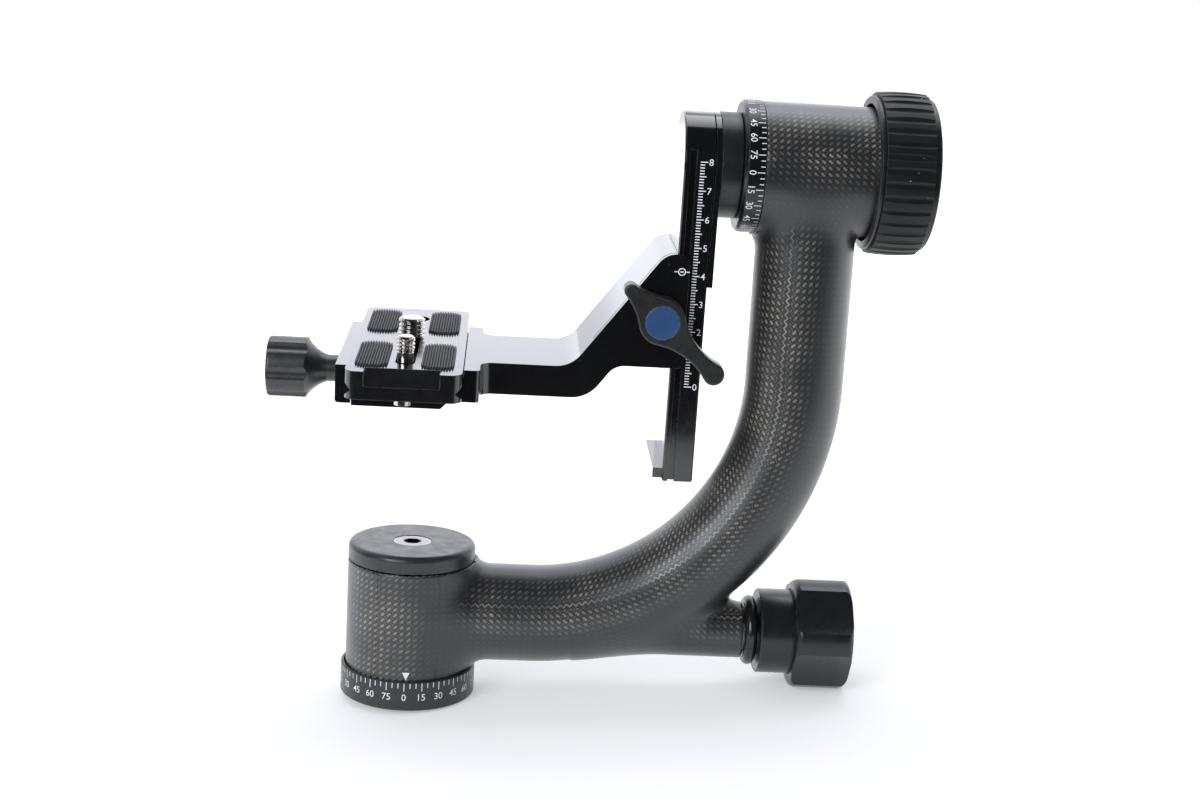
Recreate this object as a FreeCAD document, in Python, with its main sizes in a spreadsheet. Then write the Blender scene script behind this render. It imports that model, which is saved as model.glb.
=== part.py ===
import FreeCAD, Part
import math
import os
import re

import Sketcher

# Gimbal tripod head for long lenses. Millimetres, +Z up. The origin is on the pan axis at the
# underside of the dial base; X points to the side of the upright arm and Y to the back.
# Three frames are used: "fixed" (the head itself), "cradle" (origin on the tilt axis, turned about
# it by rest_tilt) and "carriage" (origin at the carriage's index mark on the ruler).

doc = FreeCAD.newDocument("GimbalHead")

SIZES = [
    # dial base and pan bearing
    ("dial_diameter", 49.3, "dial ring, outside"),
    ("dial_height", 10.8, "dial ring, overall"),
    ("dial_wall", 1.0, "lip of the dial ring"),
    ("dial_depth", 3.2, "lip above the base floor"),
    ("edge_break", 0.4, "small chamfer on turned edges"),
    ("housing_lift", 0.6, "air under the carbon housing"),
    ("housing_gap", 0.55, "air between the dial's lip and the carbon housing"),
    ("housing_height", 42.0, "carbon housing"),
    ("carbon_wall", 2.3, "wall of the carbon shell"),
    ("seam", 0.5, "gap between housing and cap"),
    ("cap_height", 6.0, "pan cap"),
    ("cap_edge", 2.0, "rounding of the cap edge"),
    ("insert_bore", 7.94, "minor diameter of the tripod thread"),
    ("insert_depth", 9.5, "depth of the tripod thread"),
    ("insert_body", 11.0, "tripod insert, body"),
    ("insert_rim", 14.0, "tripod insert, rim"),
    ("insert_rim_height", 2.0, "tripod insert, rim"),
    ("insert_floor", 1.0, "closed end of the insert"),
    ("spindle_flange", 34.0, "spindle flange, outside"),
    ("spindle_flange_height", 3.0, "spindle flange"),
    ("spindle_diameter", 15.0, "spindle post"),
    ("bearing_width", 7.0, "ball bearings"),
    ("race_wall", 1.8, "thickness of the bearing rings"),
    ("ball_diameter", 3.8, "bearing balls"),
    ("ball_gap", 0.05, "running clearance of the balls"),
    ("pan_ball_count", 11, "balls in each pan bearing"),
    ("tilt_ball_count", 12, "balls in each tilt bearing"),
    ("pan_bearing_outer", 28.0, "pan bearing, outside"),
    ("pan_bearing_lift", 1.2, "lower pan bearing above the floor"),
    ("pan_bearing_drop", 0.4, "upper pan bearing below the housing top"),
    ("sleeve_inset", 0.2, "bearing sleeve inside the housing end"),
    ("shoulder_width", 1.0, "shoulder between bearing seats"),
    ("drum_diameter", 22.0, "brake drum on the spindle"),
    ("cap_recess", 1.1, "post end inside the cap"),
    ("cap_screw_thread", 8.0, "cap screw"),
    ("cap_screw_sunk", 0.2, "cap screw below the cap top"),
    ("cap_screw_head", 14.0, "cap screw countersink"),
    ("cap_screw_length", 20.5, "cap screw, overall"),
    ("cap_screw_socket", 5.5, "cap screw hexagon"),
    ("socket_depth", 3.0, "cap screw hexagon depth"),
    ("screw_clearance", 0.1, "radial clearance of through holes"),
    ("thread_clearance", 0.04, "radial clearance of the turning threads"),
    ("base_screw_thread", 4.0, "screws from base to spindle"),
    ("base_screw_circle", 26.0, "pitch circle of those screws"),
    # carbon arm
    ("arm_diameter", 35.5, "carbon arm, outside"),
    ("arm_low_height", 30.7, "axis of the lower arm"),
    ("arm_upright_reach", 135.95, "axis of the upright arm"),
    ("arm_bend", 92.0, "bend radius of the arm axis"),
    ("tilt_height", 199.35, "tilt axis above the base"),
    ("tilt_housing_diameter", 46.0, "tilt housing, outside"),
    ("tilt_housing_left", 116.8, "tilt housing, left end"),
    ("tilt_housing_length", 45.2, "tilt housing"),
    ("branch_height", 27.4, "axis of the pan lock"),
    ("branch_diameter", 21.0, "tube of the pan lock"),
    ("branch_start", 60.0, "pan lock tube, start inside the arm"),
    ("branch_end", 123.1, "pan lock tube, end"),
    ("joint_blend", 1.0, "moulded fillet where the tubes meet"),
    # pan lock
    ("collar_left", 128.9, "collar, left face"),
    ("collar_right", 141.8, "collar, right face"),
    ("collar_diameter", 31.2, "collar"),
    ("collar_nose", 7.0, "collar nose in the bushing"),
    ("bushing_left", 92.0, "bushing, left end"),
    ("bushing_wall", 6.0, "bushing end wall"),
    ("bushing_bore", 13.0, "spring pocket of the bushing"),
    ("oring_section", 4.6, "rubber ring, section"),
    ("pan_screw_thread", 8.0, "pan lock screw"),
    ("pan_screw_tip", 116.1, "pan lock screw, left end"),
    ("pan_screw_right", 152.0, "pan lock screw, right end"),
    ("rod_diameter", 8.0, "push rod"),
    ("rod_clearance", 0.08, "push rod in its bushing"),
    ("rod_gap", 0.1, "air between rod and screw"),
    ("rod_flange", 12.4, "push rod collar"),
    ("rod_flange_left", 112.0, "push rod collar, left face"),
    ("rod_flange_width", 2.0, "push rod collar"),
    ("rod_spigot", 5.0, "push rod end in the shoe"),
    ("rod_spigot_length", 2.5, "push rod end in the shoe"),
    ("shoe_diameter", 9.8, "brake shoe"),
    ("shoe_clearance", 0.08, "brake shoe in the sleeve"),
    ("shoe_gap", 0.8, "brake shoe to drum when open"),
    ("shoe_right", 18.0, "brake shoe, right end"),
    ("lock_spring_mean", 10.4, "return spring, mean diameter"),
    ("lock_spring_wire", 1.1, "return spring, wire"),
    ("lock_spring_slack", 0.9, "return spring short of the rod collar"),
    ("lock_spring_turns", 6, "return spring"),
    ("pan_knob_left", 141.4, "pan knob, left face"),
    ("pan_knob_length", 21.2, "pan knob"),
    ("pan_knob_diameter", 41.0, "pan knob across the lobes"),
    ("pan_knob_recess", 1.4, "recess of the pan knob over the collar"),
    ("pan_knob_recess_gap", 0.3, "air round the collar in the recess"),
    ("pan_knob_scallop", 85.8, "diameter of the scallops"),
    ("pan_knob_scallop_depth", 2.7, "depth of the scallops"),
    ("pan_knob_lobes", 5, "lobes of the pan knob"),
    ("pan_knob_edge", 2.6, "rounding of the pan knob"),
    ("pan_knob_turn", 41.5, "front scallop above the front, at rest"),
    # tilt shaft and bearings
    ("rest_tilt", 3.83, "cradle angle at rest"),
    ("shaft_flange_diameter", 37.4, "tilt shaft flange"),
    ("tilt_dial_gap", 0.2, "air between dial ring and tilt housing"),
    ("tilt_dial_width", 7.0, "tilt dial ring"),
    ("tilt_dial_diameter", 46.6, "tilt dial ring"),
    ("tilt_dial_web", 2.4, "web of the tilt dial ring"),
    ("tilt_dial_rim", 4.0, "rim of the tilt dial ring"),
    ("tilt_dial_bevel", 1.0, "bright bevel of the tilt dial ring"),
    ("shaft_shoulder", 20.0, "shoulder under the dial ring"),
    ("shaft_diameter", 17.0, "tilt shaft"),
    ("tilt_bearing_outer", 30.0, "tilt bearing, outside"),
    ("tilt_sleeve_inset", 0.5, "tilt sleeve inside the housing ends"),
    ("tilt_bearing_inset", 2.2, "left bearing from the housing end"),
    ("tilt_bearing_pitch", 31.0, "distance between the tilt bearings"),
    ("shaft_thread", 14.0, "threaded end of the tilt shaft"),
    ("shaft_step", 167.0, "start of the threaded end"),
    ("shaft_end", 173.4, "right end of the tilt shaft"),
    ("shaft_screw_thread", 6.0, "retaining screw"),
    ("shaft_screw_depth", 13.4, "retaining screw in the shaft"),
    ("shaft_screw_head", 17.0, "retaining screw head"),
    ("shaft_screw_head_width", 1.4, "retaining screw head"),
    ("hub_screw_thread", 5.0, "screws from flange to plate"),
    ("hub_screw_circle", 27.0, "pitch circle of those screws"),
    ("hub_screw_head", 8.5, "hub screw head"),
    ("hub_screw_head_width", 4.6, "hub screw head"),
    ("hub_screw_engagement", 7.0, "hub screw in the plate"),
    # tilt lock wheel
    ("lock_stroke", 0.5, "travel of the tilt brake"),
    ("lining_left", 162.1, "brake lining, left face when open"),
    ("lining_width", 1.6, "brake lining"),
    ("lining_bore", 24.0, "brake lining"),
    ("lining_diameter", 41.0, "brake lining"),
    ("pressure_plate_width", 2.2, "pressure plate"),
    ("pressure_plate_diameter", 44.0, "pressure plate"),
    ("slide_clearance", 0.08, "pressure plate on the shaft"),
    ("thrust_washer_width", 1.0, "thrust washer"),
    ("thrust_washer_diameter", 28.0, "thrust washer"),
    ("wheel_left", 155.6, "wheel, left rim"),
    ("wheel_rim_diameter", 54.4, "wheel, left rim"),
    ("wheel_rim_width", 1.8, "wheel, left rim"),
    ("wheel_bore", 48.8, "hollow of the wheel"),
    ("wheel_drum", 51.2, "seat of the rubber grip"),
    ("grip_width", 16.9, "rubber grip"),
    ("grip_edge_diameter", 56.8, "rubber grip at its ends"),
    ("grip_diameter", 57.7, "rubber grip at its middle"),
    ("grip_flutes", 38, "flutes of the grip"),
    ("grip_flute", 3.4, "diameter of the flutes"),
    ("grip_flute_circle", 59.5, "circle of the flute centres"),
    ("wheel_hub_clearance", 0.3, "wheel hub over the shaft"),
    ("wheel_hub_relief", 1.5, "wheel hub over the shaft step"),
    ("wheel_hub_end", 173.25, "right face of the wheel hub"),
    ("wheel_pocket", 24.0, "pocket for the retaining screw"),
    ("wheel_cap_width", 2.4, "wheel cap"),
    ("wheel_cap_diameter", 53.6, "wheel cap"),
    ("wheel_cap_dome", 0.5, "rise of the wheel cap"),
    ("wheel_cap_pocket", 1.4, "pocket in the wheel cap"),
    # swing plate
    ("plate_width", 37.2, "swing plate"),
    ("plate_left", 89.0, "swing plate, left face"),
    ("plate_thickness", 11.0, "swing plate"),
    ("plate_reach", 112.4, "swing plate below the tilt axis"),
    ("plate_edge", 0.5, "chamfer of the swing plate"),
    ("rail_left", 91.0, "side groove, left wall"),
    ("rail_width", 2.3, "side groove"),
    ("rail_depth", 2.0, "side groove"),
    ("rail_top", 6.8, "side groove above the tilt axis"),
    ("backing_thickness", 1.9, "backing plate"),
    ("backing_reach", 40.85, "backing plate below the tilt axis"),
    ("stop_bar_width", 3.4, "stop bar"),
    ("stop_bar_height", 3.6, "stop bar"),
    ("stop_bar_length", 35.0, "stop bar"),
    ("stop_bar_lift", 0.9, "stop bar above the plate end"),
    ("stop_screw_thread", 2.5, "stop bar screws"),
    ("stop_screw_spacing", 20.0, "stop bar screws"),
    ("stop_screw_length", 8.0, "stop bar screws"),
    ("ruler_zero", 77.05, "ruler zero below the tilt axis"),
    ("ruler_reading", 41.85, "carriage above the ruler zero at rest"),
    # carriage bracket
    ("rail_clearance", 0.06, "carriage on the swing plate"),
    ("lip_thickness", 2.39, "lips in front of and behind the plate"),
    ("hook_clearance", 0.2, "hooks short of the groove's floor"),
    ("bracket_top", 6.1, "top of the bracket"),
    ("bracket_bottom", 34.7, "underside of the bracket, down"),
    ("bracket_slope", 53.45, "angle of the bracket's slope"),
    ("bar_top", 35.76, "top of the bar, down"),
    ("bar_bottom", 47.0, "underside of the bar, down"),
    ("slope_foot", 53.86, "where the slope leaves the bar"),
    ("underside_foot", 60.2, "where the underside leaves the bar"),
    ("slope_fillet", 11.0, "inner corner above"),
    ("underside_fillet", 12.0, "outer corner below"),
    ("armpit_fillet", 7.2, "inner corner below"),
    ("shoulder_fillet", 8.0, "outer corner above"),
    ("lip_fillet", 3.9, "upper corner of the lips"),
    ("lip_low_fillet", 1.5, "lower corner of the lips"),
    ("slit_start", 61.4, "left end of the slit"),
    ("slit_width", 0.7, "slit behind the front leaf"),
    ("lever_across", 84.15, "lever axis"),
    ("lever_down", 16.3, "lever axis, down"),
    ("lever_bolt_diameter", 5.0, "lever bolt"),
    ("lever_bolt_head", 8.5, "lever bolt head"),
    ("lever_bolt_head_width", 3.6, "lever bolt head"),
    ("lever_nut_across", 8.0, "lever nut, across flats"),
    ("lever_nut_width", 4.0, "lever nut"),
    ("lever_nut_clearance", 0.1, "nut in its pocket"),
    ("lever_washer_diameter", 12.0, "lever washer"),
    ("lever_washer_width", 2.45, "lever washer"),
    ("lever_gap", 0.15, "lever off the washer"),
    ("lever_hub", 16.4, "lever hub"),
    ("lever_hub_width", 7.3, "lever hub"),
    ("lever_angle", 42.8, "long arm below the horizontal at rest"),
    ("lever_long", 26.1, "long arm"),
    ("lever_long_tip", 7.6, "long arm tip"),
    ("lever_short", 15.6, "short arm"),
    ("lever_short_tip", 4.8, "short arm tip"),
    ("lever_hollow", 25.0, "radius of the lever's hollow sides"),
    ("lever_arm_back", 1.0, "arms in front of the hub's back"),
    ("lever_rim", 0.7, "rounding of the lever's front"),
    ("lever_cap_diameter", 11.8, "lever cap"),
    ("lever_cap_width", 1.6, "lever cap"),
    ("lever_cap_proud", 0.2, "lever cap above the hub"),
    # clamp
    ("clamp_width", 66.4, "clamp along the plate"),
    ("fixed_jaw_right", 22.2, "fixed jaw, right face"),
    ("jaw_top", 35.8, "top of the jaws, down"),
    ("fixed_jaw_bottom", 47.2, "underside of the fixed jaw, down"),
    ("floor_gap", 0.22, "air under the quick-release plate"),
    ("floor_bottom", 50.1, "underside of the clamp floor, down"),
    ("floor_left", 21.7, "clamp floor, left of the pan axis"),
    ("floor_step", 9.0, "where the floor's underside rises"),
    ("jaw_gap", 0.25, "jaw face to plate side"),
    ("vee_clearance", 0.05, "dovetail faces"),
    ("vee_blunt", 0.3, "blunted tip of the dovetail"),
    ("movable_jaw_left", 27.3, "movable jaw, outer face"),
    ("movable_jaw_bottom", 49.3, "underside of the movable jaw, down"),
    ("jaw_foot_gap", 0.2, "movable jaw to clamp floor"),
    ("jaw_foot_drop", 0.27, "jaw foot below the plate"),
    ("jaw_blend", 4.5, "fillet between bar and fixed jaw"),
    ("jaw_corner", 1.6, "rounded upright corners of the fixed jaw"),
    ("jaw_low_corner", 1.2, "rounded lower edge of the movable jaw"),
    ("clamp_screw_down", 45.8, "clamp screw axis, down"),
    ("clamp_screw_thread", 4.0, "clamp screw"),
    ("clamp_screw_reach", 16.7, "clamp screw in the floor"),
    ("clamp_screw_spare", 2.0, "bore beyond the clamp screw"),
    ("pin_down", 46.8, "guide pin axis, down"),
    ("pin_diameter", 3.0, "guide pins"),
    ("pin_spacing", 48.0, "distance between the guide pins"),
    ("pin_seat", 3.4, "guide pins in the jaw"),
    ("pin_reach", 15.7, "guide pins in the floor"),
    ("pin_spare", 2.0, "bore beyond the pins"),
    ("pin_clearance", 0.04, "guide pins in the floor"),
    ("jaw_spring_mean", 4.5, "jaw springs, mean diameter"),
    ("jaw_spring_wire", 0.7, "jaw springs, wire"),
    ("jaw_spring_pocket", 5.6, "pocket of the jaw springs"),
    ("jaw_spring_depth", 6.0, "pocket of the jaw springs"),
    ("jaw_spring_turns", 5, "jaw springs"),
    ("spring_end_gap", 0.1, "air at the spring ends"),
    ("clamp_knob_gap", 0.1, "knob off the jaw"),
    ("clamp_knob_neck", 9.7, "clamp knob neck"),
    ("clamp_knob_hollow", 14.0, "hollow side between neck and lobes"),
    ("clamp_knob_neck_left", 33.0, "clamp knob neck, left end"),
    ("clamp_knob_right", 40.5, "lobed part, right end"),
    ("clamp_knob_left", 54.3, "lobed part, left end"),
    ("clamp_knob_diameter", 22.0, "across the lobes"),
    ("clamp_knob_edge", 1.2, "chamfer of the lobes"),
    ("clamp_knob_scallop", 7.0, "diameter of the scallops"),
    ("clamp_knob_scallop_circle", 26.6, "circle of the scallop centres"),
    ("clamp_knob_lobes", 7, "lobes of the clamp knob"),
    ("clamp_screw_in_knob", 18.0, "clamp screw in the knob"),
    # quick-release plate
    ("qr_left", 22.8, "plate edge, left of the pan axis"),
    ("qr_width", 39.3, "quick-release plate"),
    ("qr_length", 100.0, "quick-release plate"),
    ("qr_top", 33.53, "top of the plate, down"),
    ("qr_thickness", 9.8, "quick-release plate"),
    ("qr_corner", 4.0, "vertical corners"),
    ("vee_down", 6.67, "groove centre below the plate top"),
    ("vee_mouth", 4.4, "groove height at the side"),
    ("slot_across", -3.4, "slot centre"),
    ("slot_width", 6.8, "slot"),
    ("slot_end", 12.0, "slot to each end of the plate"),
    ("slot_entry", 10.2, "round entry of the slot"),
    ("slot_entry_inset", 5.0, "round entry from the slot's rear end"),
    ("channel_width", 16.4, "channel for the screw heads"),
    ("channel_spare", 4.0, "channel beyond the slot's ends"),
    ("channel_depth", 4.23, "channel for the screw heads"),
    ("nose_left", -16.4, "bevel on the front edge"),
    ("nose_right", 9.1, "bevel on the front edge"),
    ("nose_back", 6.0, "bevel on the front edge"),
    ("nose_drop", 5.2, "bevel on the front edge"),
    ("pad_width", 11.3, "grip pads"),
    ("pad_length", 34.4, "grip pads"),
    ("pad_spread", 11.25, "pads from the slot centre"),
    ("pad_front", -26.0, "front pads"),
    ("pad_back", 25.9, "rear pads"),
    ("pad_corner", 4.5, "pad corners"),
    ("pad_proud", 0.9, "pads above the plate"),
    ("pad_sunk", 0.8, "pads in the plate"),
    ("plate_stop_across", 5.8, "stop screw heads"),
    ("plate_stop_proud", 1.95, "stop screw heads"),
    ("plate_stop_end", 4.0, "stop screws from the plate's ends"),
    ("plate_stop_thread", 3.0, "stop screws"),
    ("plate_stop_length", 6.0, "stop screws in the plate"),
    # camera screws
    ("small_inset", 3.8, "1/4 inch screw from the slot's front end at rest"),
    ("small_thread", 6.35, "1/4 inch screw"),
    ("small_rise", 9.3, "1/4 inch screw above the plate"),
    ("small_thread_length", 5.5, "1/4 inch thread"),
    ("small_neck", 5.6, "1/4 inch screw, neck"),
    ("large_back", 3.0, "3/8 inch screw at rest"),
    ("large_thread", 9.525, "3/8 inch screw"),
    ("large_rise", 7.4, "3/8 inch screw above the plate"),
    ("large_thread_length", 7.1, "3/8 inch thread"),
    ("large_neck", 6.6, "3/8 inch screw, neck"),
    ("camera_screw_tip", 0.8, "chamfer of the thread ends"),
    ("camera_screw_head", 13.0, "camera screw heads"),
    ("camera_screw_head_gap", 0.15, "heads above the plate's underside"),
    ("camera_washer_width", 0.8, "camera screw washers"),
    ("camera_washer_gap", 0.05, "air on each side of the washers"),
    ("camera_slot_width", 1.4, "coin slot"),
    ("camera_slot_depth", 1.2, "coin slot"),
]

WORKED = {
    "base_floor": "dial_height-dial_depth",
    "housing_bottom": "base_floor+housing_lift",
    "housing_top": "housing_bottom+housing_height",
    "housing_diameter": "dial_diameter-2*dial_wall-2*housing_gap",
    "cap_bottom": "housing_top+seam",
    "cap_top": "cap_bottom+cap_height",
    "pan_knob_scallop_circle": "pan_knob_diameter-2*pan_knob_scallop_depth+pan_knob_scallop",
    "insert_top": "insert_depth+insert_floor",
    "flange_bottom": "base_floor-spindle_flange_height",
    "spindle_top": "cap_bottom+cap_recess",
    "low_bearing": "base_floor+pan_bearing_lift",
    "high_bearing": "housing_top-pan_bearing_drop-bearing_width",
    "pan_race": "spindle_diameter/2+race_wall",
    "pan_pitch": "(spindle_diameter+pan_bearing_outer)/4",
    "sleeve_radius": "housing_diameter/2-carbon_wall",
    "cap_screw_top": "cap_top-cap_screw_sunk",
    "arm_centre_across": "arm_upright_reach-arm_bend",
    "arm_centre_height": "arm_low_height+arm_bend",
    "tilt_housing_right": "tilt_housing_left+tilt_housing_length",
    "branch_bore": "branch_diameter/2-carbon_wall",
    "tilt_bore": "tilt_housing_diameter/2-carbon_wall",
    "shoe_left": "drum_diameter/2+shoe_gap",
    "dial_right": "tilt_housing_left-tilt_dial_gap",
    "dial_left": "dial_right-tilt_dial_width",
    "flange_left": "plate_right+backing_thickness",
    "plate_right": "plate_left+plate_thickness",
    "left_bearing": "tilt_housing_left+tilt_bearing_inset",
    "right_bearing": "left_bearing+tilt_bearing_pitch",
    "tilt_sleeve_left": "tilt_housing_left+tilt_sleeve_inset",
    "tilt_sleeve_right": "tilt_housing_right-tilt_sleeve_inset",
    "tilt_race": "shaft_diameter/2+race_wall",
    "tilt_pitch": "(shaft_diameter+tilt_bearing_outer)/4",
    "pressure_left": "lining_left+lining_width",
    "thrust_left": "pressure_left+pressure_plate_width",
    "hub_left": "thrust_left+thrust_washer_width",
    "grip_left": "wheel_left+wheel_rim_width",
    "grip_right": "grip_left+grip_width",
    "rail_right": "rail_left+rail_width",
    "index_height": "ruler_reading-ruler_zero",
    "channel_half": "plate_width/2+rail_clearance",
    "bracket_half": "channel_half+lip_thickness",
    "hook_depth": "rail_depth-hook_clearance+rail_clearance",
    "slope_top": "slope_foot+(bracket_top+bar_top)/tan(bracket_slope)",
    "underside_top": "underside_foot+(bar_bottom-bracket_bottom)/tan(bracket_slope)",
    "long_hollow_along": "lever_long/2+((lever_hub/2+lever_hollow)^2"
                         "-(lever_long_tip/2+lever_hollow)^2)/(2*lever_long)",
    "long_hollow_side": "sqrt((lever_hub/2+lever_hollow)^2-long_hollow_along^2)",
    "short_hollow_along": "lever_short/2+((lever_hub/2+lever_hollow)^2"
                          "-(lever_short_tip/2+lever_hollow)^2)/(2*lever_short)",
    "short_hollow_side": "sqrt((lever_hub/2+lever_hollow)^2-short_hollow_along^2)",
    "washer_front": "bracket_half+lever_washer_width",
    "lever_back": "washer_front+lever_gap",
    "lever_front": "lever_back+lever_hub_width",
    "lever_bolt_seat": "lever_cap_width-lever_cap_proud+lever_bolt_head_width-lever_front",
    "clamp_screw_end": "-movable_jaw_left-clamp_screw_in_knob",
    "qr_right": "qr_width-qr_left",
    "qr_middle": "qr_right/2-qr_left/2",
    "qr_bottom": "qr_top+qr_thickness",
    "slot_length": "qr_length-2*slot_end",
    "slot_entry_back": "slot_length/2-slot_entry_inset",
    "channel_length": "slot_length+2*channel_spare",
    "plate_stop_back": "qr_length/2-plate_stop_end",
    "small_back": "small_inset-slot_length/2",
    "vee_level": "qr_top+vee_down",
    "vee_depth": "vee_mouth/2",
    "tip_inset": "vee_depth-vee_clearance*sqrt(2)",
    "lip_half": "tip_inset+jaw_gap",
    "floor_top": "qr_bottom+floor_gap",
    "web_bottom": "qr_bottom-channel_depth",
    "head_bottom": "qr_bottom-camera_screw_head_gap",
    "camera_washer_top": "web_bottom+camera_washer_gap",
    "head_top": "camera_washer_top+camera_washer_width+camera_washer_gap",
}

ALIASES = {name for name, value, meaning in SIZES}


def expression(text):
    """Turn a formula in plain size names into one that reads the sheet."""

    def swap(match):
        word = match.group(0)
        if word in WORKED:
            return "(" + expression(WORKED[word]) + ")"
        if word in ALIASES:
            return "Sizes." + word
        return word

    return re.sub(r"[A-Za-z_]\w*", swap, str(text))


def make_sheet():
    """Write every driving size into the spreadsheet."""
    sheet = doc.addObject("Spreadsheet::Sheet", "Sizes")
    for row, (name, value, meaning) in enumerate(SIZES, start=1):
        sheet.set("A%d" % row, meaning)
        sheet.set("B%d" % row, str(value))
        sheet.setAlias("B%d" % row, name)
    doc.recompute()
    return sheet


sizes = make_sheet()


def number(text):
    """The present value of a formula."""
    return float(sizes.evalExpression(expression(text)))


TURNS = {
    "x": FreeCAD.Rotation(FreeCAD.Vector(0, 1, 0), 90),
    "y": FreeCAD.Rotation(FreeCAD.Vector(1, 0, 0), -90),
    "z": FreeCAD.Rotation(),
}


def settle(obj, at):
    """Bind an object's position to three formulas."""
    for letter, text in zip("xyz", at):
        if str(text) != "0":
            obj.setExpression("Placement.Base." + letter, expression(text))


def rod(name, diameter, start, end, axis="z", at=("0", "0")):
    """A cylinder along an axis from start to end; at gives the two other coordinates."""
    obj = doc.addObject("Part::Cylinder", name)
    obj.setExpression("Radius", expression("(%s)/2" % diameter))
    obj.setExpression("Height", expression("(%s)-(%s)" % (end, start)))
    obj.Placement = FreeCAD.Placement(FreeCAD.Vector(), TURNS[axis])
    place = list(at)
    place.insert("xyz".index(axis), start)
    settle(obj, place)
    return obj


def block(name, across, back, up):
    """A box between pairs of formulas along X, Y and Z."""
    obj = doc.addObject("Part::Box", name)
    for side, (low, high) in zip(("Length", "Width", "Height"), (across, back, up)):
        obj.setExpression(side, expression("(%s)-(%s)" % (high, low)))
    settle(obj, (across[0], back[0], up[0]))
    return obj


def join(name, parts):
    """One solid out of several."""
    obj = doc.addObject("Part::MultiFuse", name)
    obj.Shapes = parts
    obj.Refine = True
    return obj


def carve(name, base, tools):
    """Take the tools out of the base, and stop if nothing was taken."""
    tool = tools[0]
    if len(tools) > 1:
        tool = doc.addObject("Part::Compound", name + "_tools")
        tool.Links = tools
    obj = doc.addObject("Part::Cut", name)
    obj.Base = base
    obj.Tool = tool
    doc.recompute()
    if obj.Shape.isNull() or obj.Shape.Volume > base.Shape.Volume - 1e-4:
        raise RuntimeError("nothing was cut from " + name)
    return obj


def several(name, parts):
    """Separate solids kept together in one node."""
    obj = doc.addObject("Part::Compound", name)
    obj.Links = parts
    return obj


FRAMES = {
    "fixed": ("0", "0", "0"),
    "cradle": ("0", "0", "tilt_height"),
    "carriage": (
        "0",
        "-index_height*sin(rest_tilt)",
        "tilt_height+index_height*cos(rest_tilt)",
    ),
}

PIECES = []


def finish(obj, label, frame="fixed", shift=("0", "0", "0")):
    """Name a piece and put it in its frame, moved by shift inside that frame."""
    obj.Label = label
    base = FRAMES[frame]
    if frame == "fixed":
        obj.Placement = FreeCAD.Placement()
        settle(obj, shift)
    else:
        turn = FreeCAD.Rotation(FreeCAD.Vector(1, 0, 0), number("rest_tilt"))
        obj.Placement = FreeCAD.Placement(FreeCAD.Vector(), turn)
        obj.setExpression("Placement.Rotation.Angle", expression("rest_tilt"))
        across, back, up = shift
        place = (
            across,
            "(%s)+(%s)*cos(rest_tilt)-(%s)*sin(rest_tilt)" % (base[1], back, up),
            "(%s)+(%s)*sin(rest_tilt)+(%s)*cos(rest_tilt)" % (base[2], back, up),
        )
        settle(obj, place)
    PIECES.append(obj)
    return obj


def arc_between(start, end, radius):
    """An arc of less than a half turn; a positive radius bulges to the right of the way."""
    chord = end - start
    half = chord.Length / 2
    depth = math.sqrt(max(radius * radius - half * half, 0.0))
    left = FreeCAD.Vector(-chord.y, chord.x, 0).normalize()
    centre = (start + end) * 0.5 + left * math.copysign(depth, radius)
    angles = [math.atan2(point.y - centre.y, point.x - centre.x) for point in (start, end)]
    backwards = radius < 0
    if backwards:
        angles.reverse()
    circle = Part.Circle(centre, FreeCAD.Vector(0, 0, 1), abs(radius))
    return Part.ArcOfCircle(circle, angles[0], angles[1]), backwards


def draw_circle(sketch, diameter, across, up):
    """Draw one full circle."""
    centre = FreeCAD.Vector(number(across), number(up), 0)
    circle = Part.Circle(centre, FreeCAD.Vector(0, 0, 1), number(diameter) / 2)
    sketch.addGeometry(circle, False)
    sketch.addConstraint(Sketcher.Constraint("Radius", 0, number(diameter) / 2))
    sketch.setExpression("Constraints[0]", expression("(%s)/2" % diameter))
    for index, (kind, text, axis) in enumerate((("DistanceX", across, -2), ("DistanceY", up, -1)), 1):
        if str(text) == "0":
            sketch.addConstraint(Sketcher.Constraint("PointOnObject", 0, 3, axis))
        else:
            sketch.addConstraint(Sketcher.Constraint(kind, -1, 1, 0, 3, number(text)))
            sketch.setExpression("Constraints[%d]" % index, expression(text))


def draw(sketch, outline):
    """Draw a closed outline: corners as pairs of formulas, a third one gives an arc's radius."""
    if outline[0] == "circle":
        draw_circle(sketch, *outline[1:])
        return
    corners = [FreeCAD.Vector(number(point[0]), number(point[1]), 0) for point in outline]
    lines = []
    ends = []
    for index, point in enumerate(outline):
        start = corners[index - 1]
        end = corners[index]
        if len(point) == 2:
            lines.append(Part.LineSegment(start, end))
            ends.append((1, 2))
            continue
        arc, backwards = arc_between(start, end, number(point[2]))
        lines.append(arc)
        ends.append((2, 1) if backwards else (1, 2))
    sketch.addGeometry(lines, False)
    rules = []
    bound = []
    for index, point in enumerate(outline):
        following = (index + 1) % len(outline)
        end = ends[index][1]
        rules.append(Sketcher.Constraint("Coincident", index, end, following, ends[following][0]))
        for kind, text, axis in (("DistanceX", point[0], -2), ("DistanceY", point[1], -1)):
            if str(text) == "0":
                rules.append(Sketcher.Constraint("PointOnObject", index, end, axis))
            else:
                bound.append((len(rules), text))
                rules.append(Sketcher.Constraint(kind, -1, 1, index, end, number(text)))
        if len(point) == 3:
            bound.append((len(rules), "abs(%s)" % point[2]))
            rules.append(Sketcher.Constraint("Radius", index, abs(number(point[2]))))
    sketch.addConstraint(rules)
    for index, text in bound:
        sketch.setExpression("Constraints[%d]" % index, expression(text))


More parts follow.
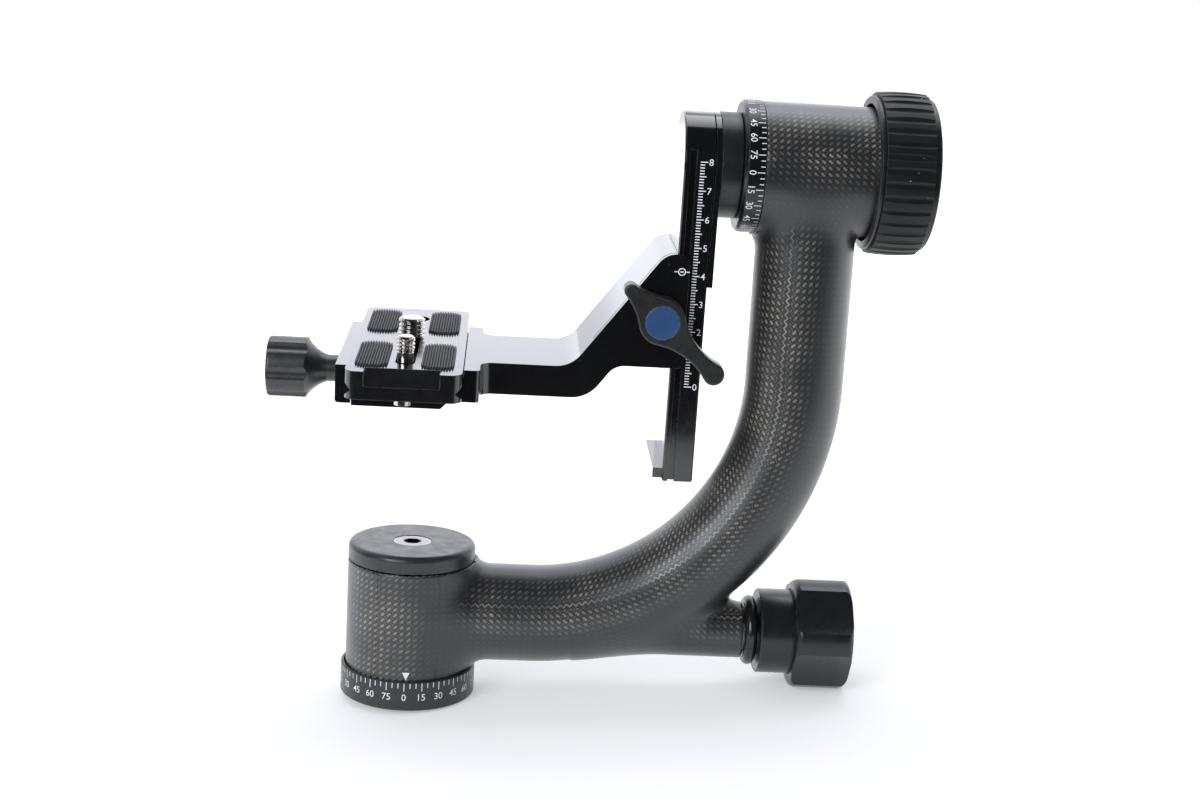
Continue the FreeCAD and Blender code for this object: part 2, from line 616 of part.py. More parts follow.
def sketch_in(body, plane, outline, offset="0"):
    """A sketch on one of the body's own planes, moved along the plane's normal."""
    support = [item for item in body.Origin.OriginFeatures if item.Role == plane][0]
    sketch = body.newObject("Sketcher::SketchObject", body.Name + "_outline")
    sketch.AttachmentSupport = (support, "")
    sketch.MapMode = "FlatFace"
    if str(offset) != "0":
        sketch.setExpression("AttachmentOffset.Base.z", expression(offset))
    draw(sketch, outline)
    doc.recompute()
    return sketch


def turned(name, axis, outline):
    """A turned piece: the outline gives (radius, along) for z and y, (along, radius) for x."""
    body = doc.addObject("PartDesign::Body", name)
    plane = "XY_Plane" if axis == "y" else "XZ_Plane"
    sketch = sketch_in(body, plane, outline)
    feature = body.newObject("PartDesign::Revolution", name + "_turn")
    feature.Profile = sketch
    feature.ReferenceAxis = (sketch, ["H_Axis" if axis == "x" else "V_Axis"])
    feature.Angle = 360
    body.Tip = feature
    doc.recompute()
    return body


def padded(name, plane, outline, low, high):
    """A piece of constant section between two heights along the plane's normal."""
    body = doc.addObject("PartDesign::Body", name)
    sketch = sketch_in(body, plane, outline, low)
    feature = body.newObject("PartDesign::Pad", name + "_pad")
    feature.Profile = sketch
    feature.setExpression("Length", expression("(%s)-(%s)" % (high, low)))
    body.Tip = feature
    doc.recompute()
    return body


def pocket(body, plane, outline, top, depth, polar=None):
    """Cut an outline into a body from top against the plane's normal, repeated if polar."""
    before = body.Shape.Volume
    sketch = sketch_in(body, plane, outline, top)
    feature = body.newObject("PartDesign::Pocket", body.Name + "_pocket")
    feature.Profile = sketch
    feature.setExpression("Length", expression(depth))
    body.Tip = feature
    if polar:
        pattern = body.newObject("PartDesign::PolarPattern", body.Name + "_pattern")
        pattern.Originals = [feature]
        pattern.Axis = (sketch, ["N_Axis"])
        pattern.Angle = 360
        pattern.setExpression("Occurrences", expression(polar))
        body.Tip = pattern
    doc.recompute()
    if body.Shape.Volume > before - 1e-4:
        raise RuntimeError("a pocket of %s cut nothing" % body.Name)
    return feature


def dress(body, kind, size, wanted):
    """Round or chamfer the edges of a body that the test wants."""
    base = body.Tip
    feature = body.newObject("PartDesign::" + kind, body.Name + "_" + kind.lower())
    names = []
    for index, edge in enumerate(base.Shape.Edges, start=1):
        if wanted(edge, edge.BoundBox.Center):
            names.append("Edge%d" % index)
    if not names:
        raise RuntimeError("no edge to dress on " + body.Name)
    feature.Base = (base, names)
    feature.setExpression("Size" if kind == "Chamfer" else "Radius", expression(size))
    body.Tip = feature
    doc.recompute()
    return feature


def hexagon(across):
    """Corners of a hexagon with the given width across flats."""
    reach = "(%s)/sqrt(3)" % across
    return [("%s*cos(%d)" % (reach, angle), "%s*sin(%d)" % (reach, angle))
            for angle in (1, 61, 121, 181, 241, 301)]


def pan_base():
    """Dial ring and floor, screwed to the spindle's flange from below."""
    body = turned("PanBase", "z", [
        ("insert_rim/2", "0"),
        ("dial_diameter/2", "0"),
        ("dial_diameter/2", "dial_height"),
        ("dial_diameter/2-dial_wall", "dial_height"),
        ("dial_diameter/2-dial_wall", "base_floor"),
        ("spindle_flange/2", "base_floor"),
        ("spindle_flange/2", "flange_bottom"),
        ("insert_body/2", "flange_bottom"),
        ("insert_body/2", "insert_rim_height"),
        ("insert_rim/2", "insert_rim_height"),
    ])
    dress(body, "Chamfer", "edge_break", outer_rim(number("dial_diameter") / 2))
    holes = base_screw_solids("hole", "screw_clearance")
    finish(carve("PanBaseBored", body, holes), "pan_base")


def outer_rim(radius):
    """A test for the full circles of one radius."""

    def wanted(edge, middle):
        return hasattr(edge.Curve, "Radius") and abs(edge.Curve.Radius - radius) < 1e-3

    return wanted


def base_screw_solids(name, clearance):
    """Four countersunk screws, or their holes, around the pan axis."""
    solids = []
    for index in range(4):
        angle = 45 + 90 * index
        place = ("base_screw_circle/2*cos(%d)" % angle, "base_screw_circle/2*sin(%d)" % angle)
        shank = rod("base_shank_%s%d" % (name, index), "base_screw_thread+2*%s" % clearance,
                    "0", "base_floor-edge_break", "z", place)
        head = doc.addObject("Part::Cone", "base_head_%s%d" % (name, index))
        head.setExpression("Radius1", expression("base_screw_thread+%s" % clearance))
        head.setExpression("Radius2", expression("base_screw_thread/2+%s" % clearance))
        head.setExpression("Height", expression("base_screw_thread/2"))
        settle(head, place + ("0",))
        solids.append(join("base_screw_%s%d" % (name, index), [shank, head]))
    return solids


def tripod_insert():
    """Threaded insert for the tripod's screw, closed at its upper end."""
    finish(turned("TripodInsert", "z", [
        ("insert_bore/2", "0"),
        ("insert_rim/2", "0"),
        ("insert_rim/2", "insert_rim_height"),
        ("insert_body/2", "insert_rim_height"),
        ("insert_body/2", "insert_top"),
        ("0", "insert_top"),
        ("0", "insert_depth"),
        ("insert_bore/2", "insert_depth"),
    ]), "tripod_insert")


def pan_spindle():
    """Flange and post that carry the pan bearings."""
    body = turned("PanSpindle", "z", [
        ("0", "insert_top"),
        ("insert_body/2", "insert_top"),
        ("insert_body/2", "flange_bottom"),
        ("spindle_flange/2", "flange_bottom"),
        ("spindle_flange/2", "base_floor"),
        ("pan_race", "base_floor"),
        ("pan_race", "low_bearing"),
        ("spindle_diameter/2", "low_bearing"),
        ("spindle_diameter/2", "spindle_top"),
        ("cap_screw_thread/2", "spindle_top"),
        ("cap_screw_thread/2", "cap_screw_top-cap_screw_length-socket_depth"),
        ("0", "cap_screw_top-cap_screw_length-socket_depth"),
    ])
    finish(carve("PanSpindleTapped", body, base_screw_solids("thread", "0")), "pan_spindle")


def spindle_screws():
    """The four screws from the base into the spindle's flange."""
    finish(several("SpindleScrews", base_screw_solids("solid", "0")), "spindle_screws")


def ring_pair(name, axis, inner, outer, starts, pitch, across="0"):
    """Two bearing rings with their ball grooves."""
    rings = []
    for index, start in enumerate(starts):
        label = "%s%d" % (name, index)
        end = "%s+bearing_width" % start
        full = rod(label + "_outside", outer, start, end, axis)
        bore = rod(label + "_inside", inner, start, end, axis)
        groove = doc.addObject("Part::Torus", label + "_groove")
        groove.setExpression("Radius1", expression(pitch))
        groove.setExpression("Radius2", expression("ball_diameter/2+ball_gap"))
        groove.Placement = FreeCAD.Placement(FreeCAD.Vector(), TURNS[axis])
        place = ["0", "0"]
        place.insert("xyz".index(axis), "%s+bearing_width/2" % start)
        settle(groove, place)
        rings.append(carve(label, full, [bore, groove]))
    return several(name, rings)


def ball_pair(name, axis, starts, pitch, count):
    """Two circles of balls."""
    balls = []
    total = int(number(count))
    for index, start in enumerate(starts):
        for step in range(total):
            ball = doc.addObject("Part::Sphere", "%s%d_%d" % (name, index, step))
            ball.setExpression("Radius", expression("ball_diameter/2"))
            place = ["%s*cos(360/%s*%d)" % (pitch, count, step),
                     "%s*sin(360/%s*%d)" % (pitch, count, step)]
            place.insert("xyz".index(axis), "%s+bearing_width/2" % start)
            settle(ball, place)
            balls.append(ball)
    return several(name, balls)


def pan_bearings():
    """Inner rings on the spindle, outer rings in the sleeve, balls between them."""
    starts = ("low_bearing", "high_bearing")
    inner = ring_pair("PanInner", "z", "spindle_diameter", "2*pan_race", starts, "pan_pitch")
    finish(inner, "pan_bearing_inner_rings")
    outer = ring_pair("PanOuter", "z", "pan_bearing_outer-2*race_wall", "pan_bearing_outer",
                      starts, "pan_pitch")
    finish(outer, "pan_bearing_outer_rings")
    finish(ball_pair("PanBalls", "z", starts, "pan_pitch", "pan_ball_count"), "pan_bearing_balls")


def pan_brake_drum():
    """Spacer between the inner rings; the brake shoe presses on it."""
    finish(turned("PanBrakeDrum", "z", [
        ("spindle_diameter/2", "low_bearing+bearing_width"),
        ("pan_race", "low_bearing+bearing_width"),
        ("drum_diameter/2", "low_bearing+bearing_width+shoulder_width"),
        ("drum_diameter/2", "high_bearing-shoulder_width"),
        ("pan_race", "high_bearing"),
        ("spindle_diameter/2", "high_bearing"),
    ]), "pan_brake_drum")


def pan_cap():
    """Cap that clamps the bearings, with a countersunk hole."""
    head = "(cap_screw_head/2)"
    hole = "(cap_screw_thread/2+screw_clearance)"
    body = turned("PanCap", "z", [
        (hole, "spindle_top+screw_clearance"),
        ("spindle_diameter/2+screw_clearance", "spindle_top+screw_clearance"),
        ("spindle_diameter/2+screw_clearance", "high_bearing+bearing_width"),
        ("pan_race", "high_bearing+bearing_width"),
        ("pan_race", "cap_bottom"),
        ("housing_diameter/2", "cap_bottom"),
        ("housing_diameter/2", "cap_top"),
        (head, "cap_top"),
        (hole, "cap_top-%s+%s" % (head, hole)),
    ])
    dress(body, "Fillet", "cap_edge", upper_rim("housing_diameter", "cap_top"))
    finish(body, "pan_cap")


def upper_rim(diameter, height):
    """A test for one circle around the Z axis."""
    radius = number(diameter) / 2
    level = number(height)

    def wanted(edge, middle):
        round_edge = hasattr(edge.Curve, "Radius") and abs(edge.Curve.Radius - radius) < 1e-3
        return round_edge and abs(middle.z - level) < 1e-3

    return wanted


def pan_cap_screw():
    """Countersunk screw in the middle of the cap."""
    head = "(cap_screw_head/2-cap_screw_sunk)"
    body = turned("PanCapScrew", "z", [
        ("0", "cap_screw_top-cap_screw_length"),
        ("cap_screw_thread/2", "cap_screw_top-cap_screw_length"),
        ("cap_screw_thread/2", "cap_screw_top-%s+cap_screw_thread/2" % head),
        (head, "cap_screw_top"),
        ("0", "cap_screw_top"),
    ])
    pocket(body, "XY_Plane", hexagon("cap_screw_socket"), "cap_screw_top", "socket_depth")
    finish(body, "pan_cap_screw")


def arm_tubes(name, inward, extra):
    """The tubes of the arm, all thinner by inward and longer by extra at their open ends."""
    thickness = "(arm_diameter-2*(%s))" % inward
    lower = rod(name + "_lower", thickness, "0", "arm_centre_across", "x", ("0", "arm_low_height"))
    bend = doc.addObject("Part::Torus", name + "_bend")
    bend.setExpression("Radius1", "Sizes.arm_bend")
    bend.setExpression("Radius2", expression("%s/2" % thickness))
    bend.Angle3 = 90
    bend.Placement.Rotation = FreeCAD.Rotation(
        FreeCAD.Vector(1, 0, 0), FreeCAD.Vector(0, 0, -1), FreeCAD.Vector(0, 1, 0))
    settle(bend, ("arm_centre_across", "0", "arm_centre_height"))
    upright = rod(name + "_upright", thickness, "arm_centre_height", "tilt_height", "z",
                  ("arm_upright_reach", "0"))
    branch = rod(name + "_branch", "branch_diameter-2*(%s)" % inward, "branch_start",
                 "branch_end+%s" % extra, "x", ("0", "branch_height"))
    housing = rod(name + "_housing", "housing_diameter-2*(%s)" % inward,
                  "housing_bottom-%s" % extra, "housing_top+%s" % extra)
    tilt = rod(name + "_tilt", "tilt_housing_diameter-2*(%s)" % inward,
               "tilt_housing_left-%s" % extra, "tilt_housing_right+%s" % extra, "x",
               ("0", "tilt_height"))
    return join(name, [housing, lower, bend, upright, tilt, branch])


def carbon_frame():
    """Housing, arm, tilt housing and lock branch, moulded as one hollow shell."""
    outside = arm_tubes("ArmOutside", "0", "0")
    doc.recompute()
    blend = doc.addObject("Part::Fillet", "ArmBlend")
    blend.Base = outside
    radius = number("joint_blend")
    chosen = []
    for index, edge in enumerate(outside.Shape.Edges, start=1):
        if edge.Curve.TypeId == "Part::GeomBSplineCurve":
            chosen.append((index, radius, radius))
    blend.Edges = chosen
    inside = arm_tubes("ArmInside", "carbon_wall", "carbon_wall")
    doc.recompute()
    finish(carve("CarbonFrame", blend, [inside]), "carbon_frame")


def pan_bearing_sleeve():
    """Metal sleeve moulded into the housing, with bearing seats and the shoe's hole."""
    body = turned("PanSleeve", "z", [
        ("pan_bearing_outer/2", "housing_bottom+sleeve_inset"),
        ("sleeve_radius", "housing_bottom+sleeve_inset"),
        ("sleeve_radius", "housing_top-sleeve_inset"),
        ("pan_bearing_outer/2", "housing_top-sleeve_inset"),
        ("pan_bearing_outer/2", "high_bearing"),
        ("pan_bearing_outer/2-shoulder_width", "high_bearing"),
        ("pan_bearing_outer/2-shoulder_width", "low_bearing+bearing_width"),
        ("pan_bearing_outer/2", "low_bearing+bearing_width"),
    ])
    hole = rod("shoe_hole", "shoe_diameter+2*shoe_clearance", "0", "housing_diameter/2", "x",
               ("0", "branch_height"))
    finish(carve("PanSleeveBored", body, [hole]), "pan_bearing_sleeve")


def pan_brake_shoe():
    """Shoe with a hollow face that fits the drum."""
    solid = rod("shoe_solid", "shoe_diameter", "spindle_diameter/2", "shoe_right", "x",
                ("0", "branch_height"))
    hollow = rod("shoe_hollow", "2*shoe_left", "branch_height-shoe_diameter",
                 "branch_height+shoe_diameter")
    socket = rod("shoe_socket", "rod_spigot", "shoe_right-rod_spigot_length", "shoe_right", "x",
                 ("0", "branch_height"))
    finish(carve("PanBrakeShoe", solid, [hollow, socket]), "pan_brake_shoe")


AT_BRANCH = ("0", "0", "branch_height")


def pan_lock_rod():
    """Push rod from the lock screw to the shoe, with a collar for the return spring."""
    finish(turned("PanLockRod", "x", [
        ("shoe_right-rod_spigot_length", "0"),
        ("shoe_right-rod_spigot_length", "rod_spigot/2"),
        ("shoe_right", "rod_spigot/2"),
        ("shoe_right", "rod_diameter/2"),
        ("rod_flange_left", "rod_diameter/2"),
        ("rod_flange_left", "rod_flange/2"),
        ("rod_flange_left+rod_flange_width", "rod_flange/2"),
        ("rod_flange_left+rod_flange_width", "rod_diameter/2"),
        ("pan_screw_tip-rod_gap", "rod_diameter/2"),
        ("pan_screw_tip-rod_gap", "0"),
    ]), "pan_lock_rod", "fixed", AT_BRANCH)


def pan_lock_bushing():
    """Bushing bonded into the branch; it guides the rod and holds the spring."""
    finish(turned("PanLockBushing", "x", [
        ("bushing_left", "rod_diameter/2+rod_clearance"),
        ("bushing_left", "branch_bore"),
        ("collar_left", "branch_bore"),
        ("collar_left", "bushing_bore/2"),
        ("bushing_left+bushing_wall", "bushing_bore/2"),
        ("bushing_left+bushing_wall", "rod_diameter/2+rod_clearance"),
    ]), "pan_lock_bushing", "fixed", AT_BRANCH)


def pan_lock_collar():
    """Collar screwed into the bushing; it carries the lock's thread."""
    body = turned("PanLockCollar", "x", [
        ("collar_left-collar_nose", "pan_screw_thread/2+thread_clearance"),
        ("collar_left-collar_nose", "bushing_bore/2"),
        ("collar_left", "bushing_bore/2"),
        ("collar_left", "collar_diameter/2"),
        ("collar_right", "collar_diameter/2"),
        ("collar_right", "pan_screw_thread/2+thread_clearance"),
    ])
    dress(body, "Chamfer", "edge_break", outer_rim(number("collar_diameter") / 2))
    finish(body, "pan_lock_collar", "fixed", AT_BRANCH)


def pan_lock_oring():
    """Rubber ring between the branch and the collar."""
    ring = doc.addObject("Part::Torus", "OringTorus")
    ring.setExpression("Radius1", expression("branch_bore+oring_section/2+screw_clearance"))
    ring.setExpression("Radius2", expression("oring_section/2"))
    ring.Placement = FreeCAD.Placement(FreeCAD.Vector(), TURNS["x"])
    settle(ring, ("(branch_end+collar_left)/2", "0", "0"))
    finish(several("PanLockOring", [ring]), "pan_lock_oring", "fixed", AT_BRANCH)


def coil(name, mean, wire, start, end, turns, axis_shift):
    """A compression spring along X between two places."""
    helix = doc.addObject("Part::Helix", name + "_helix")
    length = "((%s)-(%s)-%s)" % (end, start, wire)
    helix.setExpression("Pitch", expression("%s/%s" % (length, turns)))
    helix.setExpression("Height", expression(length))
    helix.setExpression("Radius", expression("%s/2" % mean))
    section = doc.addObject("Part::Circle", name + "_wire")
    section.setExpression("Radius", expression("%s/2" % wire))
    section.Placement = FreeCAD.Placement(FreeCAD.Vector(), FreeCAD.Rotation(FreeCAD.Vector(1, 0, 0), 90))
    settle(section, ("%s/2" % mean, "0", "0"))
    sweep = doc.addObject("Part::Sweep", name + "_sweep")
    sweep.Sections = [section]
    sweep.Spine = (helix, ["Edge1"])
    sweep.Solid = True
    sweep.Frenet = True
    sweep.Placement = FreeCAD.Placement(FreeCAD.Vector(), TURNS["x"])
    settle(sweep, ("(%s)+%s/2" % (start, wire),) + axis_shift)
    return sweep


def pan_lock_spring():
    """Return spring of the pan lock."""
    spring = coil("LockSpring", "lock_spring_mean", "lock_spring_wire",
                  "bushing_left+bushing_wall+spring_end_gap",
                  "rod_flange_left-lock_spring_slack", "lock_spring_turns", ("0", "0"))
    finish(several("PanLockSpring", [spring]), "pan_lock_spring", "fixed", AT_BRANCH)


def scalloped(body, count, diameter, circle, left, right, corner):
    """Cut scallops along X all round a knob, the first at its front, rounded at both ends by corner."""
    before = body.Shape.Volume
    inner = "%s/2-%s" % (diameter, corner)
    sketch = sketch_in(body, "XZ_Plane", [
        (left, "0"),
        (right, "0"),
        (right, inner),
        ("(%s)-%s" % (right, corner), diameter + "/2", corner),
        ("(%s)+%s" % (left, corner), diameter + "/2"),
        (left, inner, corner),
    ], circle + "/2")
    groove = body.newObject("PartDesign::Groove", body.Name + "_scallop")
    groove.Profile = sketch
    groove.ReferenceAxis = (sketch, ["H_Axis"])
    groove.Angle = 360
    body.Tip = groove
    pattern = body.newObject("PartDesign::PolarPattern", body.Name + "_scallops")
    pattern.Originals = [groove]
    pattern.Axis = ([item for item in body.Origin.OriginFeatures if item.Role == "X_Axis"][0], [""])
    pattern.Angle = 360
    pattern.setExpression("Occurrences", expression(count))
    body.Tip = pattern
    doc.recompute()
    if body.Shape.Volume > before - 1e-4:
        raise RuntimeError("the scallops of %s cut nothing" % body.Name)


def pan_lock_knob():
    """Five-lobed knob of the pan lock."""
    right = "pan_knob_left+pan_knob_length"
    recess = "collar_diameter/2+pan_knob_recess_gap"
    body = turned("PanLockKnob", "x", [
        ("pan_knob_left+pan_knob_recess", "pan_screw_thread/2"),
        ("pan_knob_left+pan_knob_recess", recess),
        ("pan_knob_left", recess),
        ("pan_knob_left", "pan_knob_diameter/2"),
        (right, "pan_knob_diameter/2"),
        (right, "0"),
        ("pan_screw_right", "0"),
        ("pan_screw_right", "pan_screw_thread/2"),
    ])
    dress(body, "Fillet", "pan_knob_edge", outer_rim(number("pan_knob_diameter") / 2))
    scalloped(body, "pan_knob_lobes", "pan_knob_scallop", "pan_knob_scallop_circle",
              "pan_knob_left-2*pan_knob_edge", right + "+2*pan_knob_edge", "pan_knob_edge")
    finish(body, "pan_lock_knob", "fixed", AT_BRANCH)
    body.Placement.Rotation = FreeCAD.Rotation(FreeCAD.Vector(-1, 0, 0), number("pan_knob_turn"))
    body.setExpression("Placement.Rotation.Angle", expression("pan_knob_turn"))


def pan_lock_screw():
    """Screw fixed in the pan knob."""
    finish(turned("PanLockScrew", "x", [
        ("pan_screw_tip", "0"),
        ("pan_screw_tip", "pan_screw_thread/2"),
        ("pan_screw_right", "pan_screw_thread/2"),
        ("pan_screw_right", "0"),
    ]), "pan_lock_screw", "fixed", AT_BRANCH)


def hub_screw_solids(name, clearance, spare):
    """Four screws, or their holes, from the shaft's flange into the swing plate."""
    solids = []
    for index in range(4):
        angle = 45 + 90 * index
        place = ("hub_screw_circle/2*cos(%d)" % angle, "hub_screw_circle/2*sin(%d)" % angle)
        shank = rod("hub_shank_%s%d" % (name, index), "hub_screw_thread+2*%s" % clearance,
                    "plate_right-hub_screw_engagement-%s" % spare, "dial_left-edge_break", "x", place)
        head = rod("hub_head_%s%d" % (name, index), "hub_screw_head+2*%s" % clearance,
                   "dial_left-edge_break-hub_screw_head_width-%s" % clearance,
                   "dial_left-edge_break+%s" % spare, "x", place)
        solids.append(join("hub_screw_%s%d" % (name, index), [shank, head]))
    return solids


def tilt_shaft():
    """Flange, shoulder and shaft in one turned piece, threaded at its right end."""
    body = turned("TiltShaft", "x", [
        ("flange_left", "0"),
        ("flange_left", "shaft_flange_diameter/2"),
        ("dial_left", "shaft_flange_diameter/2"),
        ("dial_left", "shaft_shoulder/2"),
        ("left_bearing", "shaft_shoulder/2"),
        ("left_bearing", "shaft_diameter/2"),
        ("shaft_step", "shaft_diameter/2"),
        ("shaft_step", "shaft_thread/2"),
        ("shaft_end", "shaft_thread/2"),
        ("shaft_end", "shaft_screw_thread/2"),
        ("shaft_end-shaft_screw_depth-edge_break", "shaft_screw_thread/2"),
        ("shaft_end-shaft_screw_depth-edge_break", "0"),
    ])
    dress(body, "Chamfer", "edge_break", outer_rim(number("shaft_flange_diameter") / 2))
    holes = hub_screw_solids("flange_hole", "screw_clearance", "edge_break")
    finish(carve("TiltShaftBored", body, holes), "tilt_shaft", "cradle")


def tilt_dial_ring():
    """Dial ring that turns with the shaft, bevelled on its left edge."""
    finish(turned("TiltDialRing", "x", [
        ("dial_left", "shaft_shoulder/2"),
        ("dial_left", "tilt_dial_diameter/2-tilt_dial_bevel"),
        ("dial_left+tilt_dial_bevel", "tilt_dial_diameter/2"),
        ("dial_right", "tilt_dial_diameter/2"),
        ("dial_right", "tilt_dial_diameter/2-tilt_dial_rim"),
        ("dial_left+tilt_dial_web", "tilt_dial_diameter/2-tilt_dial_rim"),
        ("dial_left+tilt_dial_web", "shaft_shoulder/2"),
    ]), "tilt_dial_ring", "cradle")


def tilt_bearings():
    """Inner rings on the shaft, outer rings in the sleeve, balls between them."""
    starts = ("left_bearing", "right_bearing")
    inner = ring_pair("TiltInner", "x", "shaft_diameter", "2*tilt_race", starts, "tilt_pitch")
    finish(inner, "tilt_bearing_inner_rings", "cradle")
    outer = ring_pair("TiltOuter", "x", "tilt_bearing_outer-2*race_wall", "tilt_bearing_outer",
                      starts, "tilt_pitch")
    finish(outer, "tilt_bearing_outer_rings", "fixed", ("0", "0", "tilt_height"))
    balls = ball_pair("TiltBalls", "x", starts, "tilt_pitch", "tilt_ball_count")
    finish(balls, "tilt_bearing_balls", "fixed", ("0", "0", "tilt_height"))


def tilt_bearing_sleeve():
    """Metal sleeve in the tilt housing with two bearing seats."""
    seat = "tilt_bearing_outer/2"
    finish(turned("TiltSleeve", "x", [
        ("tilt_sleeve_left", seat),
        ("tilt_sleeve_left", "tilt_bore"),
        ("tilt_sleeve_right", "tilt_bore"),
        ("tilt_sleeve_right", seat),
        ("right_bearing", seat),
        ("right_bearing", seat + "-shoulder_width"),
        ("left_bearing+bearing_width", seat + "-shoulder_width"),
        ("left_bearing+bearing_width", seat),
    ]), "tilt_bearing_sleeve", "fixed", ("0", "0", "tilt_height"))


def ring_along(name, inner, outer, start, end, label, frame):
    """A plain ring around the tilt axis."""
    finish(turned(name, "x", [
        (start, inner),
        (start, outer),
        (end, outer),
        (end, inner),
    ]), label, frame)


def tilt_rings():
    """Spacer between the bearings, and the rings of the tilt brake."""
    sliding = "shaft_diameter/2+slide_clearance"
    ring_along("TiltSpacer", "shaft_diameter/2", "tilt_race", "left_bearing+bearing_width",
               "right_bearing", "tilt_bearing_spacer", "cradle")
    ring_along("TiltLining", "lining_bore/2", "lining_diameter/2", "lining_left",
               "pressure_left", "tilt_brake_disc", "cradle")
    ring_along("TiltPressure", sliding, "pressure_plate_diameter/2", "pressure_left",
               "thrust_left", "tilt_pressure_plate", "cradle")
    ring_along("TiltThrust", sliding, "thrust_washer_diameter/2", "thrust_left",
               "hub_left", "tilt_thrust_washer", "cradle")


def tilt_shaft_screw():
    """Screw that keeps the wheel on the shaft."""
    finish(turned("TiltShaftScrew", "x", [
        ("shaft_end-shaft_screw_depth", "0"),
        ("shaft_end-shaft_screw_depth", "shaft_screw_thread/2"),
        ("shaft_end", "shaft_screw_thread/2"),
        ("shaft_end", "shaft_screw_head/2"),
        ("shaft_end+shaft_screw_head_width", "shaft_screw_head/2"),
        ("shaft_end+shaft_screw_head_width", "0"),
    ]), "tilt_shaft_screw", "cradle")


def tilt_wheel_core():
    """Hollow wheel with a threaded hub; its rim reaches over the tilt housing."""
    over = "shaft_diameter/2+wheel_hub_clearance"
    body = turned("WheelCore", "x", [
        ("wheel_left", "wheel_bore/2"),
        ("wheel_left", "wheel_rim_diameter/2"),
        ("grip_left", "wheel_rim_diameter/2"),
        ("grip_left", "wheel_drum/2"),
        ("grip_right", "wheel_drum/2"),
        ("grip_right", "wheel_pocket/2"),
        ("wheel_hub_end", "wheel_pocket/2"),
        ("wheel_hub_end", "shaft_thread/2+thread_clearance"),
        ("shaft_step+wheel_hub_relief", "shaft_thread/2+thread_clearance"),
        ("shaft_step+wheel_hub_relief", over),
        ("hub_left", over),
        ("hub_left", "wheel_bore/2"),
    ])
    dress(body, "Chamfer", "edge_break", outer_rim(number("wheel_rim_diameter") / 2))
    finish(body, "tilt_wheel_core", "cradle")


def tilt_wheel_grip():
    """Rubber grip with shallow flutes, a little barrel-shaped."""
    half = "(grip_width/2)"
    rise = "((grip_diameter-grip_edge_diameter)/2)"
    barrel = "((%s*%s+%s*%s)/(2*%s))" % (half, half, rise, rise, rise)
    body = turned("WheelGrip", "x", [
        ("grip_left", "wheel_drum/2"),
        ("grip_left", "grip_edge_diameter/2"),
        ("grip_right", "grip_edge_diameter/2", "-" + barrel),
        ("grip_right", "wheel_drum/2"),
    ])
    scalloped(body, "grip_flutes", "grip_flute", "grip_flute_circle", "grip_left-grip_flute",
              "grip_right+grip_flute", "edge_break")
    finish(body, "tilt_wheel_grip", "cradle")


def tilt_wheel_cap():
    """Slightly domed end cap of the wheel, hollow over the retaining screw."""
    right = "grip_right+wheel_cap_width"
    rim = "wheel_cap_diameter/2-edge_break"
    dome = "((%s)*(%s)+wheel_cap_dome*wheel_cap_dome)/(2*wheel_cap_dome)" % (rim, rim)
    finish(turned("WheelCap", "x", [
        ("grip_right+wheel_cap_pocket", "0"),
        ("grip_right+wheel_cap_pocket", "wheel_pocket/2"),
        ("grip_right", "wheel_pocket/2"),
        ("grip_right", "wheel_cap_diameter/2"),
        (right + "-edge_break", "wheel_cap_diameter/2"),
        (right, rim),
        (right + "+wheel_cap_dome", "0", "-(%s)" % dome),
    ]), "tilt_wheel_cap", "cradle")


def round_topped(reach, width):
    """Outline of a plate with a half-round top around the tilt axis, in (back, up)."""
    half = "%s/2" % width
    return [
        ("-" + half, "-" + reach),
        (half, "-" + reach),
        (half, "0"),
        ("0", half, half),
        ("-" + half, "0", half),
    ]


def swing_plate():
    """Long plate under the tilt axis with a groove in each side for the carriage."""
    body = padded("SwingPlate", "YZ_Plane", round_topped("plate_reach", "plate_width"),
                  "plate_left", "plate_right")
    left = number("plate_left")
    right = number("plate_right")
    dress(body, "Chamfer", "plate_edge",
          lambda edge, middle: min(abs(middle.x - left), abs(middle.x - right)) < 1e-3)
    grooves = []
    for name, low, high in (("front", "-plate_width", "rail_depth-plate_width/2"),
                            ("back", "plate_width/2-rail_depth", "plate_width")):
        grooves.append(block("rail_" + name, ("rail_left", "rail_right"), (low, high),
                             ("-plate_reach-plate_edge", "rail_top")))
    tools = grooves + hub_screw_solids("plate_thread", "0", "edge_break") + stop_screw_solids("hole")
    finish(carve("SwingPlateCut", body, tools), "swing_plate", "cradle")


def hub_backing_plate():
    """Thin plate between the swing plate and the shaft's flange."""
    body = padded("BackingPlate", "YZ_Plane", round_topped("backing_reach", "plate_width"),
                  "plate_right", "flange_left")
    holes = hub_screw_solids("backing_hole", "screw_clearance", "edge_break")
    finish(carve("BackingPlateBored", body, holes), "hub_backing_plate", "cradle")


def hub_screws():
    """Four screws that hold the swing plate on the shaft's flange."""
    finish(several("HubScrews", hub_screw_solids("solid", "0", "0")), "hub_screws", "cradle")


def stop_screw_solids(name):
    """Two countersunk screws through the stop bar into the swing plate."""
    left = "plate_left-stop_bar_width"
    level = "stop_bar_lift+stop_bar_height/2-plate_reach"
    solids = []
    for index, side in enumerate(("-", "")):
        place = ("%sstop_screw_spacing/2" % side, level)
        shank = rod("stop_shank_%s%d" % (name, index), "stop_screw_thread", left,
                    left + "+stop_screw_length", "x", place)
        head = doc.addObject("Part::Cone", "stop_head_%s%d" % (name, index))
        head.setExpression("Radius1", expression("stop_bar_height/2-edge_break"))
        head.setExpression("Radius2", expression("stop_screw_thread/2"))
        head.setExpression("Height", expression("stop_screw_thread/2"))
        head.Placement = FreeCAD.Placement(FreeCAD.Vector(), TURNS["x"])
        settle(head, (left,) + place)
        solids.append(join("stop_screw_%s%d" % (name, index), [shank, head]))
    return solids


